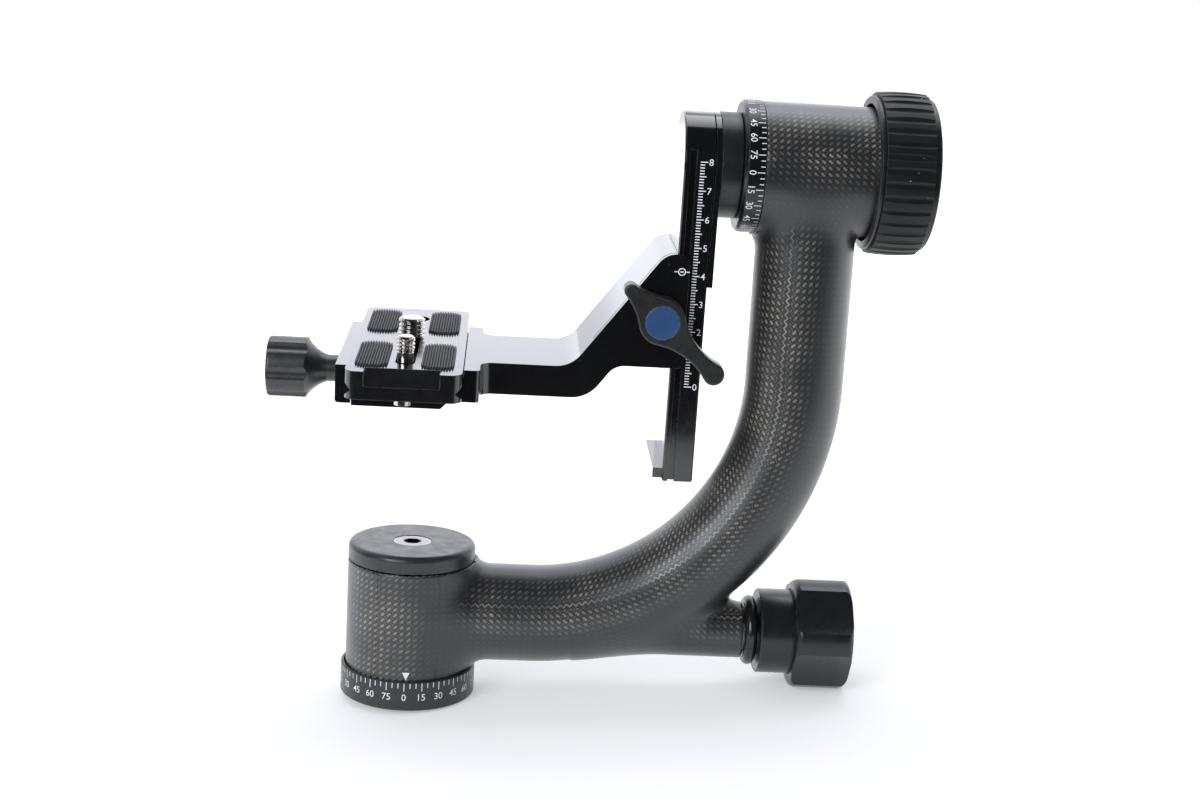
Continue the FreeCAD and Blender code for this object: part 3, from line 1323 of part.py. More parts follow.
def stop_bar():
    """Bar across the lower end of the swing plate that stops the carriage, and its screws."""
    low = "stop_bar_lift-plate_reach"
    bar = block("stop_bar_block", ("plate_left-stop_bar_width", "plate_left"),
                ("-stop_bar_length/2", "stop_bar_length/2"), (low, low + "+stop_bar_height"))
    finish(carve("StopBar", bar, stop_screw_solids("bar")), "stop_bar", "cradle")
    finish(several("StopScrews", stop_screw_solids("solid")), "stop_bar_screws", "cradle")


def bracket_outline():
    """Side outline of the carriage bracket in (across, up), clockwise from the bar's top."""
    return [
        ("fixed_jaw_right", "-bar_top"),
        ("slope_foot", "-bar_top"),
        ("slope_top", "bracket_top"),
        ("rail_right-rail_clearance", "bracket_top"),
        ("rail_right-rail_clearance", "-bracket_bottom"),
        ("underside_top", "-bracket_bottom"),
        ("underside_foot", "-bar_bottom"),
        ("fixed_jaw_right", "-bar_bottom"),
    ]


def near(points, tolerance=0.05):
    """A test for edges along Y through one of the given (across, up) places."""
    places = [(number(across), number(up)) for across, up in points]

    def wanted(edge, middle):
        box = edge.BoundBox
        if box.XLength > tolerance or box.ZLength > tolerance:
            return False
        return any(abs(middle.x - x) < tolerance and abs(middle.z - z) < tolerance for x, z in places)

    return wanted


def clamp_outline():
    """Section of the clamp's floor and fixed jaw in (across, up)."""
    face = "qr_right+jaw_gap"
    tip = "qr_right-tip_inset+vee_blunt"
    rise = "(floor_bottom-fixed_jaw_bottom)"
    return [
        ("-floor_left", "-floor_bottom"),
        ("floor_step", "-floor_bottom"),
        ("floor_step+" + rise, "-fixed_jaw_bottom"),
        ("fixed_jaw_right", "-fixed_jaw_bottom"),
        ("fixed_jaw_right", "-jaw_top"),
        (face, "-jaw_top"),
        (face, "-vee_level+lip_half"),
        (tip, "-vee_level+vee_blunt"),
        (tip, "-vee_level-vee_blunt"),
        (face, "-vee_level-lip_half"),
        (face, "-floor_top"),
        ("-floor_left", "-floor_top"),
    ]


AT_LEVER = ("lever_across", "-lever_down")


def carriage_bracket():
    """Stepped bracket: clamp floor and fixed jaw, bar, slope, and lips that run in the plate's grooves."""
    body = padded("BracketBody", "XZ_Plane", bracket_outline(), "-bracket_half", "bracket_half")
    for size, corner in (
        ("slope_fillet", ("slope_foot", "-bar_top")),
        ("shoulder_fillet", ("slope_top", "bracket_top")),
        ("lip_fillet", ("rail_right-rail_clearance", "bracket_top")),
        ("lip_low_fillet", ("rail_right-rail_clearance", "-bracket_bottom")),
        ("armpit_fillet", ("underside_top", "-bracket_bottom")),
        ("underside_fillet", ("underside_foot", "-bar_bottom")),
    ):
        dress(body, "Fillet", size, near([corner]))
    clamp = padded("BracketClamp", "XZ_Plane", clamp_outline(), "-clamp_width/2", "clamp_width/2")
    jaw_face = number("fixed_jaw_right")
    dress(clamp, "Fillet", "jaw_corner", lambda edge, middle:
          abs(edge.BoundBox.XMin - jaw_face) < 1e-3 and edge.BoundBox.YLength < 1e-3)
    whole = join("BracketWhole", [body, clamp] + jaw_corner_blends())
    far = "rail_right+rail_clearance"
    tools = [
        block("bracket_channel", ("plate_left-rail_clearance", "rail_left+rail_clearance"),
              ("-channel_half", "channel_half"), ("-bar_bottom", "2*bracket_top")),
        block("bracket_between", ("plate_left", far),
              ("-channel_half+hook_depth", "channel_half-hook_depth"),
              ("-bar_bottom", "2*bracket_top")),
        block("bracket_slit", ("slit_start", "plate_left"), ("-channel_half", "slit_width-channel_half"),
              ("-bar_bottom", "2*bracket_top")),
        rod("bolt_hole", "lever_bolt_diameter+2*screw_clearance", "-bracket_half", "bracket_half",
            "y", AT_LEVER),
        nut_pocket(),
        rod("clamp_thread", "clamp_screw_thread+2*thread_clearance", "-floor_left",
            "clamp_screw_reach+clamp_screw_spare-floor_left", "x", ("0", "-clamp_screw_down")),
    ]
    for index, side in enumerate(("-", "")):
        place = (side + "pin_spacing/2", "-pin_down")
        tools.append(rod("pin_bore%d" % index, "pin_diameter+2*pin_clearance", "-floor_left",
                         "pin_reach+pin_spare-floor_left", "x", place))
        tools.append(rod("pin_pocket%d" % index, "jaw_spring_pocket", "-floor_left",
                         "jaw_spring_depth-floor_left", "x", place))
    finish(carve("CarriageBracket", whole, tools), "carriage_bracket", "carriage")


def jaw_corner_blends():
    """Concave corners where the bar meets the wider fixed jaw."""
    blends = []
    for name, side in (("front", "-"), ("back", "")):
        corner = block("blend_block_" + name, ("fixed_jaw_right", "fixed_jaw_right+jaw_blend"),
                       *blend_sides(side))
        hollow = rod("blend_round_" + name, "2*jaw_blend", "-bar_bottom-jaw_blend", "0", "z",
                     ("fixed_jaw_right+jaw_blend", side + "(bracket_half+jaw_blend)"))
        blends.append(carve("blend_" + name, corner, [hollow]))
    return blends


def blend_sides(side):
    """Extent of one corner blend along Y and Z."""
    low = "bracket_half" if side == "" else "-bracket_half-jaw_blend"
    high = "bracket_half+jaw_blend" if side == "" else "-bracket_half"
    return (low, high), ("-bar_bottom", "-bar_top")


def nut_pocket():
    """Hexagonal pocket for the lever nut in the back of the bracket."""
    body = padded("NutPocket", "XZ_Plane", hexagon("lever_nut_across+2*lever_nut_clearance"),
                  "-bracket_half-lever_nut_clearance", "lever_nut_width-bracket_half")
    settle(body, ("lever_across", "0", "-lever_down"))
    return body


def lever_nut():
    """Hexagon nut of the lever bolt, held in the bracket's back."""
    body = padded("LeverNut", "XZ_Plane", hexagon("lever_nut_across"),
                  "-bracket_half", "lever_nut_width-bracket_half")
    hole = rod("nut_thread", "lever_bolt_diameter+2*thread_clearance", "bracket_half-2*lever_nut_width",
               "bracket_half+edge_break", "y")
    finish(carve("LeverNutTapped", body, [hole]), "lever_nut", "carriage",
           ("lever_across", "0", "-lever_down"))


def lever_washer():
    """Spacer between the bracket and the lever."""
    disc = rod("washer_disc", "lever_washer_diameter", "-washer_front", "-bracket_half", "y")
    hole = rod("washer_hole", "lever_bolt_diameter+2*screw_clearance", "-washer_front",
               "-bracket_half", "y")
    finish(carve("LeverWasher", disc, [hole]), "lever_washer", "carriage",
           ("lever_across", "0", "-lever_down"))


def lever_bolt():
    """Bolt through the lever, the washer, the bracket and the nut."""
    finish(turned("LeverBolt", "y", [
        ("0", "lever_bolt_seat-lever_bolt_head_width"),
        ("lever_bolt_head/2", "lever_bolt_seat-lever_bolt_head_width"),
        ("lever_bolt_head/2", "lever_bolt_seat"),
        ("lever_bolt_diameter/2", "lever_bolt_seat"),
        ("lever_bolt_diameter/2", "bracket_half-edge_break"),
        ("0", "bracket_half-edge_break"),
    ]), "lever_bolt", "carriage", ("lever_across", "0", "-lever_down"))


def arm_point(along, side):
    """A place on the lever in (across, up) from its axis, along its long arm and beside it."""
    return ("(%s)*cos(lever_angle)+(%s)*sin(lever_angle)" % (along, side),
            "(%s)*cos(lever_angle)-(%s)*sin(lever_angle)" % (side, along))


def lever_outline():
    """Hub and two round tips joined by hollow sides, counterclockwise."""
    corners = []
    hub_share = "lever_hub/(lever_hub+2*lever_hollow)"
    for arm, way, back in (("long", "", "-"), ("short", "-", "")):
        tip = "lever_%s_tip" % arm
        reach = "lever_" + arm
        tip_share = "%s/(%s+2*lever_hollow)" % (tip, tip)
        hub_along = "%s(%s_hollow_along*%s)" % (way, arm, hub_share)
        hub_side = "(%s_hollow_side*%s)" % (arm, hub_share)
        tip_along = "%s(%s+(%s_hollow_along-%s)*%s)" % (way, reach, arm, reach, tip_share)
        tip_side = "(%s_hollow_side*%s)" % (arm, tip_share)
        corners += [
            arm_point(hub_along, back + hub_side) + ("lever_hub/2",),
            arm_point(tip_along, back + tip_side) + ("-lever_hollow",),
            arm_point("%s(%s+%s/2)" % (way, reach, tip), "0") + (tip + "/2",),
            arm_point(tip_along, way + tip_side) + (tip + "/2",),
            arm_point(hub_along, way + hub_side) + ("-lever_hollow",),
        ]
    return corners


def clamp_lever():
    """Two-armed lever with a round hub."""
    body = padded("LeverArms", "XZ_Plane", lever_outline(), "lever_back+lever_arm_back", "lever_front")
    front = -number("lever_front")
    dress(body, "Fillet", "lever_rim", lambda edge, middle: abs(middle.y - front) < 1e-3)
    boss = rod("lever_boss", "lever_hub", "-lever_back-lever_arm_back", "-lever_back", "y")
    tools = [
        rod("lever_bore", "lever_bolt_diameter", "-lever_front", "-lever_back", "y"),
        rod("lever_head_bore", "lever_bolt_head", "-lever_front", "lever_bolt_seat", "y"),
        rod("lever_cap_bore", "lever_cap_diameter", "-lever_front",
            "lever_cap_width-lever_cap_proud-lever_front", "y"),
    ]
    finish(carve("ClampLever", join("LeverWhole", [body, boss]), tools), "clamp_lever", "carriage",
           ("lever_across", "0", "-lever_down"))


def lever_cap():
    """Coloured cap in the lever's hub."""
    cap = rod("lever_cap_solid", "lever_cap_diameter", "-lever_front-lever_cap_proud",
              "lever_cap_width-lever_cap_proud-lever_front", "y")
    finish(several("LeverCap", [cap]), "lever_cap", "carriage",
           ("lever_across", "0", "-lever_down"))


def movable_jaw():
    """Sliding jaw with its dovetail lip; the clamp screw and the guide pins go into it."""
    face = "-qr_left-jaw_gap"
    tip = "tip_inset-qr_left-vee_blunt"
    foot = "-floor_left-jaw_foot_gap"
    body = padded("MovableJaw", "XZ_Plane", [
        ("-movable_jaw_left", "-movable_jaw_bottom"),
        (foot, "-movable_jaw_bottom"),
        (foot, "-qr_bottom-jaw_foot_drop"),
        (face, "-qr_bottom-jaw_foot_drop"),
        (face, "-vee_level-lip_half"),
        (tip, "-vee_level-vee_blunt"),
        (tip, "-vee_level+vee_blunt"),
        (face, "-vee_level+lip_half"),
        (face, "-jaw_top"),
        ("-movable_jaw_left", "-jaw_top"),
    ], "-clamp_width/2", "clamp_width/2")
    dress(body, "Fillet", "jaw_low_corner", near([("-movable_jaw_left", "-movable_jaw_bottom")]))
    tools = [rod("jaw_screw_hole", "clamp_screw_thread+2*screw_clearance", "-movable_jaw_left",
                 "-floor_left", "x", ("0", "-clamp_screw_down"))]
    for index, side in enumerate(("-", "")):
        tools.append(rod("jaw_pin_hole%d" % index, "pin_diameter", foot + "-pin_seat", "-floor_left",
                         "x", (side + "pin_spacing/2", "-pin_down")))
    finish(carve("MovableJawBored", body, tools), "movable_jaw", "carriage")


def jaw_pins_and_springs():
    """Guide pins pressed into the movable jaw, each inside a spring."""
    pins = []
    springs = []
    for index, side in enumerate(("-", "")):
        place = (side + "pin_spacing/2", "-pin_down")
        pins.append(rod("guide_pin%d" % index, "pin_diameter", "-floor_left-jaw_foot_gap-pin_seat",
                        "pin_reach-floor_left", "x", place))
        springs.append(coil("JawSpring%d" % index, "jaw_spring_mean", "jaw_spring_wire",
                            "-floor_left-jaw_foot_gap+spring_end_gap",
                            "jaw_spring_depth-floor_left-spring_end_gap", "jaw_spring_turns", place))
    finish(several("GuidePins", pins), "jaw_guide_pins", "carriage")
    finish(several("JawSprings", springs), "jaw_springs", "carriage")


def clamp_knob():
    """Lobed knob with a hollow-sided neck."""
    body = turned("ClampKnob", "x", [
        ("-movable_jaw_left-clamp_knob_gap", "clamp_screw_thread/2"),
        ("clamp_screw_end", "clamp_screw_thread/2"),
        ("clamp_screw_end", "0"),
        ("-clamp_knob_left", "0"),
        ("-clamp_knob_left", "clamp_knob_diameter/2"),
        ("-clamp_knob_right", "clamp_knob_diameter/2"),
        ("-clamp_knob_neck_left", "clamp_knob_neck/2", "clamp_knob_hollow"),
        ("-movable_jaw_left-clamp_knob_gap", "clamp_knob_neck/2"),
    ])
    left = number("-clamp_knob_left")
    dress(body, "Fillet", "clamp_knob_edge", lambda edge, middle: abs(middle.x - left) < 1e-3)
    scalloped(body, "clamp_knob_lobes", "clamp_knob_scallop", "clamp_knob_scallop_circle",
              "-clamp_knob_left-clamp_knob_scallop", "-clamp_knob_neck_left", "clamp_knob_edge")
    finish(body, "clamp_knob", "carriage", ("0", "0", "-clamp_screw_down"))


def clamp_screw():
    """Screw fixed in the clamp knob, threaded into the clamp's floor."""
    screw = rod("clamp_screw_solid", "clamp_screw_thread", "clamp_screw_end",
                "clamp_screw_reach-floor_left", "x")
    finish(several("ClampScrew", [screw]), "clamp_screw", "carriage",
           ("0", "0", "-clamp_screw_down"))


def round_cornered(name, across, back, up, corner):
    """A plate with four rounded vertical corners."""
    body = padded(name, "XY_Plane", [
        (across[0], back[0]),
        (across[1], back[0]),
        (across[1], back[1]),
        (across[0], back[1]),
    ], up[0], up[1])
    dress(body, "Fillet", corner, lambda edge, middle: edge.BoundBox.ZLength > 1e-3
          and edge.BoundBox.XLength < 1e-3 and edge.BoundBox.YLength < 1e-3)
    return body


def slot_tools():
    """The long slot with its round entry, and the channel for the screw heads below it."""
    centre = "((slot_length-slot_width)/2)"
    top = "-qr_top+pad_proud"
    return [
        block("slot_middle", ("slot_across-slot_width/2", "slot_across+slot_width/2"),
              ("-" + centre, centre), ("-qr_bottom", top)),
        rod("slot_front", "slot_width", "-qr_bottom", top, "z", ("slot_across", "-" + centre)),
        rod("slot_rear", "slot_width", "-qr_bottom", top, "z", ("slot_across", centre)),
        rod("slot_entry_hole", "slot_entry", "-qr_bottom", top, "z",
            ("slot_across", "slot_entry_back")),
        block("head_channel", ("slot_across-channel_width/2", "slot_across+channel_width/2"),
              ("-channel_length/2", "channel_length/2"), ("-qr_bottom-pad_sunk", "-web_bottom")),
    ]


def vee_groove(name, side, inward):
    """Triangular prism of one dovetail groove."""
    half = "vee_mouth/2"
    return padded(name, "XZ_Plane", [
        (side, "-vee_level-" + half),
        (side + inward + "vee_depth", "-vee_level"),
        (side, "-vee_level+" + half),
        (side + ("-" if inward == "+" else "+") + "vee_depth", "-vee_level"),
    ], "-qr_length", "qr_length")


def pad_places():
    """Centres of the four pads."""
    return [("slot_across" + side + "pad_spread", back)
            for side in ("-", "+") for back in ("pad_front", "pad_back")]


def pad_solids(name, top):
    """Four rounded pads, or their recesses, up to a height over the plate."""
    solids = []
    for index, (across, back) in enumerate(pad_places()):
        solids.append(round_cornered(
            "%s%d" % (name, index),
            (across + "-pad_width/2", across + "+pad_width/2"),
            (back + "-pad_length/2", back + "+pad_length/2"),
            ("-qr_top-pad_sunk", "-qr_top+" + top), "pad_corner"))
    return solids


def plate_stop_solids():
    """Two screws under the plate's ends that keep it from sliding out."""
    solids = []
    for index, side in enumerate(("-", "")):
        place = ("slot_across", side + "plate_stop_back")
        head = rod("plate_stop_head%d" % index, "plate_stop_across",
                   "-qr_bottom-plate_stop_proud", "-qr_bottom", "z", place)
        shank = rod("plate_stop_shank%d" % index, "plate_stop_thread", "-qr_bottom",
                    "plate_stop_length-qr_bottom", "z", place)
        solids.append(join("plate_stop%d" % index, [head, shank]))
    return solids


def qr_plate():
    """Quick-release plate with dovetail sides, slot, channel and pad recesses."""
    body = round_cornered("QrBody", ("-qr_left", "qr_right"), ("-qr_length/2", "qr_length/2"),
                          ("-qr_bottom", "-qr_top"), "qr_corner")
    nose = padded("QrNose", "YZ_Plane", [
        ("-qr_length/2-nose_drop", "-qr_top-nose_drop"),
        ("-qr_length/2", "-qr_top-nose_drop"),
        ("nose_back-qr_length/2", "-qr_top"),
        ("-qr_length/2-nose_drop", "-qr_top+nose_drop"),
    ], "nose_left", "nose_right")
    tools = slot_tools() + [
        nose,
        vee_groove("VeeLeft", "-qr_left", "+"),
        vee_groove("VeeRight", "qr_right", "-"),
    ]
    tools += pad_solids("PadRecess", "pad_proud")
    tools += plate_stop_solids()
    finish(carve("QrPlate", body, tools), "qr_plate", "carriage")


def plate_fittings():
    """Pads and stop screws of the quick-release plate."""
    finish(several("GripPads", pad_solids("Pad", "pad_proud")), "grip_pads", "carriage")
    finish(several("PlateStops", plate_stop_solids()), "plate_stop_screws", "carriage")


def camera_screw(name, label, size):
    """A captive camera screw: thread, neck in the slot and coin-slotted head below."""
    top = "%s_rise-qr_top" % size
    foot = "%s-%s_thread_length" % (top, size)
    body = turned(name, "z", [
        ("0", "-head_bottom"),
        ("camera_screw_head/2", "-head_bottom"),
        ("camera_screw_head/2", "-head_top"),
        ("%s_neck/2" % size, "-head_top"),
        ("%s_neck/2" % size, foot),
        ("%s_thread/2" % size, foot),
        ("%s_thread/2" % size, top + "-camera_screw_tip"),
        ("%s_thread/2-camera_screw_tip" % size, top),
        ("0", top),
    ])
    coin = block(name + "_coin", ("-camera_screw_head/2", "camera_screw_head/2"),
                 ("-camera_slot_width/2", "camera_slot_width/2"),
                 ("-head_bottom-camera_slot_depth", "-head_bottom+camera_slot_depth"))
    finish(carve(name + "Slotted", body, [coin]), label + "_camera_screw", "carriage",
           ("slot_across", "%s_back" % size, "0"))
    disc = rod(name + "_washer_disc", "camera_screw_head", "-camera_washer_top-camera_washer_width",
               "-camera_washer_top")
    hole = rod(name + "_washer_hole", "%s_neck+2*camera_washer_gap" % size,
               "-camera_washer_top-camera_washer_width", "-camera_washer_top")
    finish(carve(name + "Washer", disc, [hole]), label + "_screw_washer", "carriage",
           ("slot_across", "%s_back" % size, "0"))


def build_all():
    """Every piece, from the tripod up to the camera screws."""
    pan_base()
    tripod_insert()
    pan_spindle()
    spindle_screws()
    pan_bearings()
    pan_brake_drum()
    pan_cap()
    pan_cap_screw()
    carbon_frame()
    pan_bearing_sleeve()
    pan_brake_shoe()
    pan_lock_rod()
    pan_lock_bushing()
    pan_lock_collar()
    pan_lock_oring()
    pan_lock_spring()
    pan_lock_knob()
    pan_lock_screw()
    tilt_shaft()
    tilt_dial_ring()
    tilt_bearings()
    tilt_bearing_sleeve()
    tilt_rings()
    tilt_shaft_screw()
    tilt_wheel_core()
    tilt_wheel_grip()
    tilt_wheel_cap()
    swing_plate()
    hub_backing_plate()
    hub_screws()
    stop_bar()
    carriage_bracket()
    lever_nut()
    lever_washer()
    lever_bolt()
    clamp_lever()
    lever_cap()
    movable_jaw()
    jaw_pins_and_springs()
    clamp_knob()
    clamp_screw()
    qr_plate()
    plate_fittings()
    camera_screw("SmallScrew", "small", "small")
    camera_screw("LargeScrew", "large", "large")


def check_and_write():
    """Stop on any failed object, then write one file for each piece."""
    doc.recompute()
    for obj in doc.Objects:
        if "Invalid" in obj.State or "Error" in obj.State:
            raise RuntimeError("%s (%s) failed: %s" % (obj.Name, obj.Label, obj.State))
    os.makedirs("parts", exist_ok=True)
    labels = set()
    for piece in PIECES:
        shape = piece.Shape
        if shape.isNull() or not shape.isValid() or not shape.Solids:
            raise RuntimeError("%s has no valid shape" % piece.Label)
        if piece.Label in labels:
            raise RuntimeError("two pieces named " + piece.Label)
        labels.add(piece.Label)
    for piece in PIECES:
        piece.Shape.exportStep("parts/%s.step" % piece.Label)
    print("%d pieces written" % len(PIECES))


build_all()
check_and_write()
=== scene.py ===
import math

import bmesh
import bpy
from mathutils import Matrix, Vector


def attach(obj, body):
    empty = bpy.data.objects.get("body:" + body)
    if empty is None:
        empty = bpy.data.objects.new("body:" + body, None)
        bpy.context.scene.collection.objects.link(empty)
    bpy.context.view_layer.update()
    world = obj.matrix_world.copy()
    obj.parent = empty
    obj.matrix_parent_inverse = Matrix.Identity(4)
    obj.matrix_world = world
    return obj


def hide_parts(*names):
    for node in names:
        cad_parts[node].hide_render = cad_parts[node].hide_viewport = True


bl_info = {
    "name": "Gimbal tripod head",
    "version": (1, 0, 0),
    "blender": (4, 5, 0),
    "location": "3D View > Sidebar > Head",
    "description": "Finishes, weave, scales, threads and studio of a gimbal tripod head",
    "category": "Object",
}

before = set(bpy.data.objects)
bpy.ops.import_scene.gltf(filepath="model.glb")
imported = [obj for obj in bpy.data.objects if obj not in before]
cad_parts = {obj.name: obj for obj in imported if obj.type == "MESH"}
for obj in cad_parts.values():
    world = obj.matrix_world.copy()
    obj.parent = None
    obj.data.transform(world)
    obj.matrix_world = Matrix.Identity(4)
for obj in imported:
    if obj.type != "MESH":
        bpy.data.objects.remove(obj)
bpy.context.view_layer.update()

# All lengths below are in millimetres unless a comment says otherwise.
MM = 0.001

# Base and arm
RING_RADIUS = 24.65
RING_TOP = 10.8
HOUSING_RADIUS = 23.1
HOUSING_BOTTOM = 8.2
HOUSING_TOP = 50.2
ARM_RADIUS = 17.75
ARM_HEIGHT = 30.7
ARM_REACH = 135.95
ARM_BEND = 92.0
BEND_X = ARM_REACH - ARM_BEND
BEND_Z = ARM_HEIGHT + ARM_BEND
BRANCH_RADIUS = 10.5
BRANCH_HEIGHT = 27.4
BRANCH_START = 60.0
BRANCH_END = 123.1

# Tilt housing and dial
TILT_HEIGHT = 199.35
TILT_LEFT = 116.8
TILT_RIGHT = 162.0
TILT_RADIUS = 23.0
DIAL_RADIUS = 23.3
DIAL_LEFT = 109.6
DIAL_RIGHT = 116.6
REST_TILT = math.radians(3.83)

# Above this level the moulded fillet fades out over a short way before the tilt wheel
FILLET_LEVEL = TILT_HEIGHT - 45.0
FILLET_END = TILT_RIGHT - 7.0
FILLET_FADE = 8.0

# How near to a tube's skin a point of the shell counts as on it, and the margin at its ends
SKIN_REACH = 2.6
SKIN_NEAR = 1.2
END_MARGIN = 0.3

# In metres: added to the weave's place on the tilt housing, where no seam shows
UNSEAMED = 10.0

# Way to a fixed light: weave tows whose normal points this way get a painted highlight in their
# colour
PAINTED_GLINT_WAY = (-0.42, -0.77, 0.48)

# Scales: line lengths from long to short, where the lines end and where the numbers stand
PAINT_PROUD = 0.03
PAN_LINES = (3.0, 1.9)
PAN_LINE_TOP = RING_TOP - 0.35
PAN_NUMERAL_HEIGHT = 5.15
PAN_INDEX = ((-1.35, 14.0), (1.35, 14.0), (0.0, 11.1))
PAN_INDEX_TURN = math.radians(1.0)
TILT_LINES = (2.6, 1.5)
TILT_LINE_RIGHT = DIAL_RIGHT - 0.25
TILT_NUMERAL = 2.35
TILT_NUMERAL_PLACE = DIAL_LEFT + 2.55
TILT_DIAL_TURN = 1.5  # degrees

# Swing plate, carriage and clamp, in the cradle's own frame
PLATE_FRONT = -18.6
RULER_LEFT = 94.5
RULER_ZERO = -77.05
RULER_LINES = (2.6, 2.3, 1.6)
RULER_LINE_WIDTH = 0.38
RULER_NUMERAL_PLACE = RULER_LEFT + 3.75
INDEX_ACROSS = 90.6
INDEX_LEVEL = -35.2
INDEX_RING = 1.2
INDEX_RING_WIDTH = 0.36
BRACKET_FRONT = -21.05
PLATE_TOP = -68.73
SLOT_ACROSS = -3.4

# Rubber pads: their middles, their size and how far they stand over and sink into the plate
PAD_SPREAD = 11.25
PAD_ROWS = (-26.0, 25.9)
PAD_WIDTH = 11.3
PAD_LENGTH = 34.4
PAD_CORNER = 4.5
PAD_RIBS = 12
PAD_PROUD = 0.9
PAD_GROOVE = 0.25
PAD_SUNK = 0.8

# Camera screws: their heads, then for each its name, place back, thread radius, rise over
# the plate, thread length, neck radius and pitch
SCREW_HEAD_DROP = 9.65
SCREW_HEAD_RADIUS = 6.5
SCREW_HEAD_DEPTH = 3.18
CAMERA_SCREWS = (
    ("small", -34.2, 3.175, 9.3, 5.5, 2.8, 1.27),
    ("large", 3.0, 4.7625, 7.4, 7.1, 3.3, 1.5875),
)

# The table leans with the head on its lock knob, and the camera rolls as far
LEAN = math.radians(3.33)
CAMERA_YAW = math.radians(3.47)
CAMERA_PITCH = math.radians(11.37)
CAMERA_PLACE = (28.12, -620.91, 237.82)

FINISHES = {
    "Dial black": ["pan_base"],
    "Cap black": ["pan_cap"],
    "Gloss black": [
        "swing_plate", "stop_bar", "carriage_bracket", "movable_jaw", "hub_backing_plate",
    ],
    "Grained black": ["qr_plate"],
    "Satin black": ["tilt_shaft", "tilt_wheel_core", "tilt_wheel_cap", "pan_brake_drum",
                    "pan_spindle"],
    "Knob black": ["pan_lock_collar", "pan_lock_knob"],
    "Clamp knob black": ["clamp_knob"],
    "Dial gloss": ["tilt_dial_ring"],
    "Carbon": ["carbon_frame"],
    "Rubber grip": ["tilt_wheel_grip"],
    "Pad rubber": ["grip_pads"],
    "Ring rubber": ["pan_lock_oring"],
    "Moulded black": ["clamp_lever"],
    "Blue anodised": ["lever_cap"],
    "Cap screw": ["pan_cap_screw"],
    "Bright steel": [
        "small_camera_screw", "large_camera_screw", "plate_stop_screws",
        "stop_bar_screws", "jaw_guide_pins", "jaw_springs", "pan_lock_spring",
        "small_screw_washer", "large_screw_washer", "lever_washer",
    ],
    "Brass": ["tripod_insert"],
    "Brake lining": ["pan_brake_shoe", "tilt_brake_disc"],
}


# ---------------------------------------------------------------- node helpers

def nodes_of(material):
    """Clears a material's tree and returns its nodes and links."""
    material.use_nodes = True
    tree = material.node_tree
    tree.nodes.clear()
    return tree.nodes, tree.links


class Shader:
    """A small builder that adds nodes to one material, or to a world, and wires them."""

    def __init__(self, name, world=None):
        self.material = world or bpy.data.materials.new(name)
        self.nodes, self.links = nodes_of(self.material)
        self.surface = self.add("ShaderNodeBackground" if world else
                                "ShaderNodeBsdfPrincipled")
        out = self.add("ShaderNodeOutputWorld" if world else "ShaderNodeOutputMaterial")
        self.links.new(self.surface.outputs[0], out.inputs[0])
        around = self.add("ShaderNodeTexCoord")
        self.place, self.way = around.outputs["Object"], around.outputs["Generated"]

    def add(self, kind, **inputs):
        """A node of a kind; names with a leading underscore set its properties."""
        node = self.nodes.new(kind)
        for key, value in inputs.items():
            if key.startswith("_"):
                setattr(node, key[1:], value)
            else:
                self.feed(node.inputs[key.replace("_", " ")], value)
        return node

    def feed(self, socket, value):
        """Links an output to a socket or sets its value."""
        if isinstance(value, bpy.types.NodeSocket):
            self.links.new(value, socket)
        else:
            socket.default_value = value

    def set(self, **inputs):
        """Sets or links inputs of the surface shader."""
        for key, value in inputs.items():
            self.feed(self.surface.inputs[key.replace("_", " ")], value)

    def math(self, operation, first, second=0.0, third=0.0):
        """One math node."""
        node = self.add("ShaderNodeMath", _operation=operation)
        for socket, value in zip(node.inputs, (first, second, third)):
            self.feed(socket, value)
        return node.outputs[0]

    def ramp(self, value, low, high, to_low=0.0, to_high=1.0):
        """A clamped linear map of a value."""
        node = self.add("ShaderNodeMapRange", Value=value, From_Min=low, From_Max=high,
                        To_Min=to_low, To_Max=to_high)
        return node.outputs[0]

    def noise(self, scale, detail=2.0, vector=None):
        """Noise between 0 and 1 at a scale per metre."""
        node = self.add("ShaderNodeTexNoise", Vector=vector or self.place, Scale=scale,
                        Detail=detail)
        return node.outputs[0]

    def mix(self, factor, first, second):
        """A mix of two colours, or of two numbers written as greys."""
        node = self.add("ShaderNodeMix", _data_type="RGBA")
        first, second = (grey(value) if isinstance(value, float) else value
                         for value in (first, second))
        for socket, value in zip((node.inputs[0], node.inputs[6], node.inputs[7]),
                                 (factor, first, second)):
            self.feed(socket, value)
        return node.outputs[2]

    def bump(self, height, distance, strength=1.0, normal=None):
        """Bump from a height, with its depth in metres."""
        node = self.add("ShaderNodeBump", Height=height, Distance=distance, Strength=strength)
        if normal:
            self.links.new(normal, node.inputs["Normal"])
        return node.outputs[0]

    def rounded(self, radius):
        """Normal rounded over the edges by a radius in metres."""
        return self.add("ShaderNodeBevel", _samples=4, Radius=radius).outputs[0]

    def edges(self, rounded, low=0.02, high=0.25):
        """Where the rounded normal leaves the true one: 0 on faces, 1 on edges."""
        true = self.add("ShaderNodeNewGeometry").outputs["True Normal"]
        dot = self.add("ShaderNodeVectorMath", _operation="DOT_PRODUCT")
        self.links.new(rounded, dot.inputs[0])
        self.links.new(true, dot.inputs[1])
        return self.ramp(self.math("SUBTRACT", 1.0, dot.outputs["Value"]), low, high)

    def from_axis(self):
        """Distance of a point from the upright axis, in metres."""
        split = self.add("ShaderNodeSeparateXYZ", Vector=self.place)
        return self.math("SQRT", self.math(
            "ADD", self.math("POWER", split.outputs[0], 2.0),
            self.math("POWER", split.outputs[1], 2.0)))

    def ray_kinds(self):
        """Two numbers: 1 for a camera's ray, and 1 for one that a mirror or glass passes on."""
        path = self.add("ShaderNodeLightPath")
        return path.outputs["Is Camera Ray"], self.math(
            "MAXIMUM", path.outputs["Is Glossy Ray"], path.outputs["Is Transmission Ray"])


